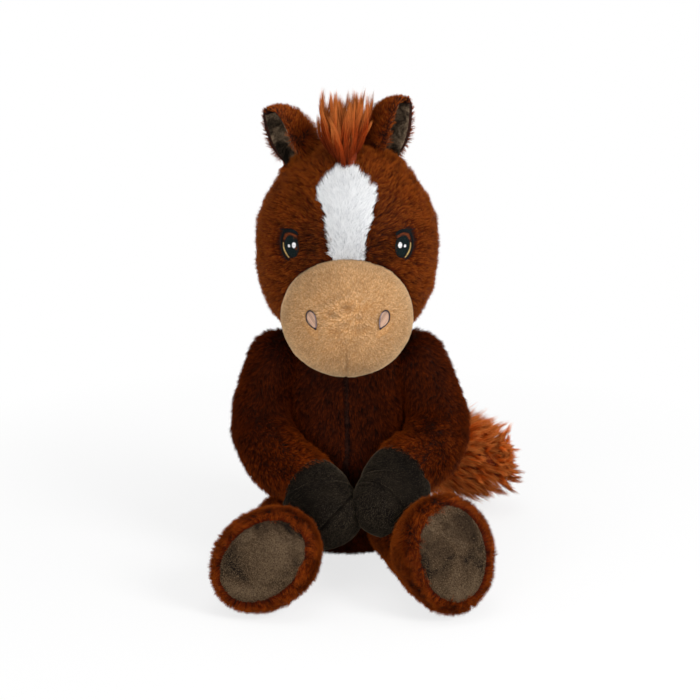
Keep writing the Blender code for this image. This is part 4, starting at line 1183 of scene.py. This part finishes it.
# The legs' pile is a lighter copy of the chestnut pile, as painted light on the legs and foot rings.
leg_pile_painted_light = dyed_pile("chestnut polyester pile of the legs", "#300d02", "#6a2302", "#b85716", "#5a5a5a")
leg_forms = {}
for side, label in ((1, "left"), (-1, "right")):
    rows, _, last = leg_rows(side, -cloth_depth)
    leg_forms[side], true_end, _ = leg_rows(side, 0)
    leg_cloth = cloth_mesh(label + "_leg_cloth", above_floor(limb_rings(rows, 56)), plush_backing_painted_shade)
    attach(leg_cloth, label + "_leg")
    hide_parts(label + "_leg_cover", label + "_leg_stuffing")

    across, upright = [axes[-1] for axes in limb_axes(rows)[2:]]
    where, facing = roots_over(leg_cloth, pile_density, 91 + side)
    flat = where - true_end
    u = flat @ across / (sole_width / 2)
    v = flat @ upright / (sole_height / 2)
    front = flat @ last
    on_sole = (np.hypot(u, v) < 0.97) & (front > -0.012)
    shown = ~on_sole & ~in_form(where, torso_form, -0.003)
    away = u[:, None] * across + v[:, None] * upright
    rim = np.clip((front + 0.012) / 0.010, 0, 1)[:, None]
    comb = last * (1 - 0.45 * rim) + np.array([0, 0, -0.15]) * (1 - rim) + away * rim * 0.75
    leg_long = np.where(where[:, 2] < 0.004, 0.0040, pile_length)[:, None]
    brushed_pile(
        label + "_leg_pile_painted_light", (where[shown], facing[shown]), pile_density, comb[shown], leg_long[shown],
        leg_pile_painted_light, label + "_leg", seed=95 + side, floor_level=pile_floor,
    )

    sole_rings = []
    turns = round_turns(56)
    for share in (1.04, 1.03, 1.0, 0.9, 0.75, 0.6, 0.45, 0.3, 0.15, 0.03):
        rise = 0.0010 * (1 - min(share, 1.0) ** 2) - 0.0020 * max(share - 0.9, 0) / 0.1
        rise = -0.0040 if share > 1.035 else rise
        ring = true_end + last * (rise - 0.0012)
        ring = ring + np.cos(turns)[:, None] * across * sole_width / 2 * share
        ring = ring + np.sin(turns)[:, None] * upright * sole_height / 2 * share
        sole_rings.append(ring)
    sole = cloth_mesh(label + "_sole_velvet", np.array(sole_rings), sole_velvet)
    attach(sole, label + "_leg")
    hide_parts(label + "_sole_pad")
    where, facing = roots_over(sole, nap_density, 97 + side)
    shown = facing @ last > 0.5
    upper_half = np.clip(where[shown, 2] / foot_height - 0.52, 0, 0.30) / 0.30
    nap(
        label + "_sole_nap", where[shown], facing[shown], np.array([0, 0, -1.0]), sole_nap, label + "_leg",
        99 + side, -1.1 * upper_half,
    )


# Arms
# Curved sleeves of plush set into the shoulders and stuffed softly, so they hang in over the belly.
# Each ends in a hoof of charcoal velvet, sewn on at the wrist.
arm_length = 0.135
shoulder_radius = 0.0255
arm_radius = 0.0245
hoof_length = 0.052
hoof_radius = 0.0255
# The hoof's round end: shares of its length past the last ring, and of its radius.
hoof_end = ((0.25, 0.99), (0.45, 0.96), (0.66, 0.87), (0.85, 0.72), (0.95, 0.55), (1.00, 0.36), (1.02, 0.15))
arm_off_leg = 0.0045  # how far the arm's cloth stays off the legs
hoof_off_leg = 0.0030
arm_pile_length = 0.0072
hoof_density = 5.0
# Outward, forward and down from the shoulder, in shares of the arm's length.
arm_paths = {
    1: (
        (0.000, 0.000, 0.000), (0.083, 0.060, 0.165), (0.125, 0.150, 0.322), (0.068, 0.310, 0.436),
        (-0.080, 0.480, 0.480), (-0.104, 0.580, 0.564), (-0.133, 0.660, 0.630),
    ),
    -1: (
        (0.000, 0.000, 0.000), (0.065, 0.060, 0.170), (0.088, 0.150, 0.345), (-0.005, 0.315, 0.485),
        (-0.160, 0.475, 0.556), (-0.209, 0.572, 0.640), (-0.246, 0.648, 0.702),
    ),
}
shoulder_pivots = {1: np.array([0.052, 0, 0.145]), -1: np.array([-0.052, 0, 0.145])}


def arm_rows(side, change):
    """The arm's rings from its round shoulder to the hoof's end, and the wrist's place and direction."""
    places = shoulder_pivots[side] + arm_length * (np.array(arm_paths[side]) * (side, -1, -1))
    girths = [shoulder_radius] + [arm_radius * share for share in (1.0, 1.04, 1.04, 0.98)]
    girths += [hoof_radius * share for share in (0.95, 1.00)]
    rows = round_start(places[0], unit_one(places[1] - places[0]), shoulder_radius + change)
    path = [(*place, girth + change, girth + change, 0) for place, girth in zip(places, girths)]
    rows += [tuple(row) for row in smoothed(path, 6)]
    last = unit_one(places[-1] - places[-2])
    end_long = hoof_length + change - np.linalg.norm(places[-1] - places[4])
    for along, girth in hoof_end:
        point = places[-1] + last * end_long * along
        rows.append((*point, (hoof_radius + change) * girth, (hoof_radius + change) * girth, 0))
    return np.array(rows), places[4], unit_one(places[5] - places[3])


def clear_of_legs(rings, gap):
    """Rings of points pushed out of both legs' forms, to their skin and a gap."""
    points = rings.reshape(-1, 3)
    for form in leg_forms.values():
        near, u, v, w = limb_depth(points, form)
        places, along, across, upright = limb_axes(form)
        reach = np.sqrt((u / (form[near, 3] + gap)) ** 2 + (v / (form[near, 4] + gap)) ** 2)
        inside = (reach < 1) & (np.abs(w) < 0.008)
        push = np.where(inside, 1 / np.maximum(reach, 0.3), 1.0)
        moved = places[near] + along[near] * w[:, None] + across[near] * (u * push)[:, None]
        points = np.where(inside[:, None], moved + upright[near] * (v * push)[:, None], points)
    return points.reshape(rings.shape)


# Each hoof's two panels meet in a seam that runs over its front.
seam_places = {1: np.array([0.0308, -0.1067, 0.0737]), -1: np.array([-0.0193, -0.1265, 0.0553])}
seam_ways = {1: np.array([0.649, 0.671, 0.358]), -1: np.array([0.727, -0.236, -0.645])}
hoof_nap = dyed_pile("charcoal nap of the hooves", "#130f0b", "#302820", "#857661", "#434140")
hoof_velvet = brushed_velvet("charcoal hoof velvet", "#0e0b08", "#15110c", "#1e1912", 16)
for side, label in ((1, "left"), (-1, "right")):
    rows, wrist, wrist_way = arm_rows(side, -cloth_depth)
    full_rows = arm_rows(side, 0.0004)[0]
    # The hoof is drawn in at the wrist's seam, swells past it and lies a little nearer the middle.
    past_wrist = (full_rows[:, :3] - wrist) @ wrist_way
    full_rows[:, 3:5] += np.interp(
        past_wrist, (-0.002, 0.002, 0.006, 0.010, 0.014, 0.020, 0.034, 0.050),
        (-0.0042, -0.0028, -0.0011, 0.0004, 0.0015, 0.0025, 0.0022, 0.0),
    )[:, None]
    full_rows[:, 0] -= side * np.interp(past_wrist, (0.0, 0.012, 0.034, 0.055), (0.0, 0.0032, 0.0026, 0.0))
    before = (rows[:, :3] - wrist) @ wrist_way < 0.004
    arm_rings = clear_of_legs(limb_rings(rows[before], 44), arm_off_leg)
    arm_cloth = cloth_mesh(label + "_arm_cloth", arm_rings, plush_backing_painted_shade)
    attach(arm_cloth, label + "_arm")
    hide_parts(label + "_arm_cover", label + "_arm_stuffing")
    where, facing = roots_over(arm_cloth, pile_density, 101 + side)
    along_arm = limb_axes(rows)[1][limb_depth(where, rows)[0]]
    shown = ~in_form(where, torso_form, -0.004) & ((where - wrist) @ wrist_way < 0.001)
    comb = along_arm + np.array([0, 0, -0.25])
    # Towards the wrist more hairs take the lighter leg pile, as painted light on the lower arm.
    near_wrist = np.clip(1 + (where - wrist) @ wrist_way / 0.055, 0, 1)
    bright = np.random.default_rng(113 + side).random(len(where)) < 0.75 * near_wrist
    for part, taken, pile in (("_arm_pile", ~bright, body_pile_painted_shade), ("_wrist_pile_painted_light", bright, leg_pile_painted_light)):
        taken = taken & shown
        brushed_pile(
            label + part, (where[taken], facing[taken]), pile_density * 0.7, comb[taken],
            arm_pile_length, pile, label + "_arm", seed=105 + side,
        )

    after = (full_rows[:, :3] - wrist) @ wrist_way > -0.002
    flat = clear_of_legs(limb_rings(smoothed(full_rows[after], 3), 120), hoof_off_leg)
    centre = flat.reshape(-1, 3).mean(axis=0)
    across_seam = unit_one(seam_ways[side])
    off_seam = (flat - seam_places[side]) @ across_seam * 1000
    in_front = np.clip((centre[1] + 0.004 - flat[..., 1]) / 0.01, 0, 1)
    groove = 1.5 * bell(off_seam, 0.9) - 0.5 * bell(np.abs(off_seam) - 2.6, 1.3)
    hoof_rings = flat - unit(flat - centre) * (groove * in_front)[..., None] * 0.001
    hoof = cloth_mesh(label + "_hoof_velvet", hoof_rings, hoof_velvet)
    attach(hoof, label + "_arm")
    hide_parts(label + "_hoof_cover")
    where, facing = roots_over(hoof, hoof_density, 107 + side)
    off_seam = (where - seam_places[side]) @ across_seam * 1000
    front_half = where[:, 1] < centre[1]
    # The nap is parted along the seam and bare in the groove. Beside the groove it is painted darker, as
    # painted shade, and lighter on the lifted edge, as a painted highlight; below the seam it is painted
    # lighter, as painted sheen.
    bare = (np.abs(off_seam) < 0.45) & front_half
    seam_painted_light_and_shade = 0.55 * bell(off_seam - 1.0, 0.5) - 0.9 * bell(off_seam + 0.2, 0.7)
    seam_painted_light_and_shade = seam_painted_light_and_shade + 0.30 * np.clip(-side * off_seam / 9, 0, 1)
    parting = np.sign(off_seam) * bell(off_seam, 1.6) * 1.6
    hoof_comb = wrist_way + parting[:, None] * across_seam
    nap(
        label + "_hoof_nap", where[~bare], facing[~bare], hoof_comb[~bare], hoof_nap, label + "_arm",
        109 + side, (seam_painted_light_and_shade * front_half)[~bare],
    )


# Tail
# A tuft of long rust pile on a short stuffed core, sewn in at the back of the seat.
# It sweeps round to the horse's left.
tail_length = 0.140
tail_width = 0.025
tail_depth = 0.035
tail_pivot = np.array([0, 0.05909, 0.039])
# Places in shares of the tail's length, then its half width and half depth there, as shares.
tail_path = ((0.12, 0.085, 0.010), (0.31, 0.150, 0.020), (0.56, 0.130, 0.035), (0.77, 0.070, 0.030),
             (0.90, 0.030, 0.030), (0.98, 0.010, 0.040))
tail_girths = ((0.62, 0.52), (0.86, 0.76), (1.00, 1.00), (0.95, 0.98), (0.66, 0.72), (0.20, 0.28))
tail_rows = [(*tail_pivot, 0.011, 0.011, 0)]
for shares, (wide, high) in zip(tail_path, tail_girths):
    place = tail_pivot + tail_length * np.array(shares)
    tail_rows.append((*place, wide * tail_width, high * tail_depth, 0))
tail_rows = smoothed(tail_rows, 6)
core_rows = tail_rows.copy()
core_rows[:, 3:5] *= 0.55
tail_core = cloth_mesh("tail_core", limb_rings(core_rows[:-7], 28), rust_backing)
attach(tail_core, "tail_tuft")
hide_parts("tail")
# The tail's pile is a brighter copy of the rust pile, as painted light on a tail that lies in shade.
tail_hair_painted_light = dyed_pile("rust long pile of the tail", "#8a2e0a", "#dc5e16", "#ff9c50", "#9a9a9a")
tail_count = 1050
rng = np.random.default_rng(120)
places, along, across, upright = limb_axes(tail_rows)
rank = np.linspace(0, 1, len(tail_rows))
around = rng.uniform(0, math.tau, tail_count)
start_at = rng.uniform(0.04, 0.86, tail_count)
end_at = start_at + rng.uniform(0.11, 0.21, tail_count)


def tail_skin(at, share):
    """Places round the tail at shares of its length and of its girth, going on straight past its end."""
    inside = np.minimum(at, 0.93)
    columns = np.column_stack([places, along, across, upright, tail_rows[:, 3:5]])
    row = np.stack([np.interp(inside, rank, columns[:, k]) for k in range(columns.shape[1])], axis=1)
    ending = np.interp(at, (0.70, 0.90, 1.10), (1.0, 0.86, 0.55))
    girth = [np.interp(np.minimum(at, 0.72), rank, columns[:, k]) * ending for k in (12, 13)]
    aside = row[:, 6:9] * (np.cos(around) * girth[0])[:, None]
    aside = aside + row[:, 9:12] * (np.sin(around) * girth[1])[:, None]
    return row[:, :3] + aside * share[:, None] + row[:, 3:6] * ((at - inside) * 0.030)[:, None]


outer = np.where(start_at < 0.68, 1.0, rng.uniform(0.05, 1.0, tail_count))
tail_roots = tail_skin(start_at, 0.46 * outer)
tail_bulge = tail_skin((start_at + end_at) / 2 - 0.02, rng.uniform(0.70, 0.95, tail_count) * outer)
tail_tips = tail_skin(end_at, rng.uniform(0.85, 1.22, tail_count) * outer)
tail_tips = tail_tips + rng.normal(scale=0.0030, size=(tail_count, 3))
tail_floor = 0.003
for ends in (tail_tips, tail_bulge):
    ends[:, 2] = np.maximum(ends[:, 2], tail_floor)
for piece in locks(
    "tail_hair_painted_light", tail_roots, tail_tips, tail_bulge, 30, rng.uniform(0.0009, 0.0019, tail_count), tail_hair_painted_light,
    "tail_tuft", width=0.00036, fray=0.12, wave=1.1, seed=121,
):
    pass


# Floor, lamps and camera
# The horse sits on a plain pale floor under soft lamps, seen a little from above.
# The floor fades to white away from it, as a paper sweep does.
def floor_paint():
    """A pale sweep that fades to white away from the horse and keeps its soft shadow."""
    material, tree = new_material("pale floor")
    ray = add_node(tree, "LightPath").outputs["Is Camera Ray"]
    place = add_node(tree, "TexCoord").outputs["Object"]
    matt = add_node(tree, "BsdfDiffuse", {"Color": linear("#f4f4f4")})
    glow = add_node(tree, "Emission", {"Color": (1, 1, 1, 1), "Strength": 1.0})
    away = add_node(tree, "VectorMath", {"operation": "LENGTH"}, {0: place}).outputs["Value"]
    reach = {"From Min": 0.16, "From Max": 0.50, "To Min": 0.76, "To Max": 1.0}
    fade = add_node(tree, "MapRange", reach, {"Value": away})
    seen = add_node(tree, "Math", {"operation": "MULTIPLY"}, {0: ray, 1: fade})
    mixed = add_node(tree, "MixShader", {}, {0: seen, 1: matt, 2: glow})
    add_node(tree, "OutputMaterial", links={"Surface": mixed})
    return material


corners = [(-6, -6, 0), (6, -6, 0), (6, 6, 0), (-6, 6, 0)]
floor = smooth_piece("floor", corners, [(0, 1, 2, 3)], [floor_paint()])
floor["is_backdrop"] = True

world = bpy.data.worlds.new("studio")
bpy.context.scene.world = world
world.use_nodes = True
sky = world.node_tree
sky.nodes.clear()
ray = add_node(sky, "LightPath").outputs["Is Camera Ray"]
strength = add_node(sky, "MapRange", {"To Min": 0.50, "To Max": 1.0}, {"Value": ray})
dome = add_node(sky, "Background", {"Color": (1, 1, 1, 1)}, {"Strength": strength})
add_node(sky, "OutputWorld", {}, {"Surface": dome})

lamp_aim = np.array([0, 0, 0.2])
for name, place, size, power in (
    ("key_softbox", (1.05, -0.95, 1.00), 0.7, 17.0),
    ("fill_softbox", (-0.50, -1.35, 0.35), 0.8, 8.5),
    ("top_softbox", (0, -0.15, 1.4), 0.8, 3.5),
):
    lamp = bpy.data.lights.new(name, "AREA")
    lamp.shape = "DISK"
    lamp.size = size
    lamp.energy = power
    softbox = in_scene(name, lamp)
    softbox.location = place
    softbox.rotation_euler = Vector((lamp_aim - place).tolist()).to_track_quat("-Z", "Y").to_euler()

camera_data = bpy.data.cameras.new("camera")
camera = in_scene("camera", camera_data)
camera_height = math.radians(15.5)
aim = np.array([0, -0.044, 0.1657])
distance = 1.38
camera.location = (aim - distance * np.array([0, math.cos(camera_height), -math.sin(camera_height)])).tolist()
camera.rotation_euler = (math.pi / 2 - camera_height, 0, 0)
camera_data.sensor_width = 36
camera_data.lens = 95.9
camera_data.shift_x = 3 / 700
camera_data.clip_start = 0.05
bpy.context.scene.camera = camera
bpy.context.scene.view_settings.view_transform = "Standard"

corners = [[list(map(float, corner)) for corner in box] for box in (frame_box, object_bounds())]
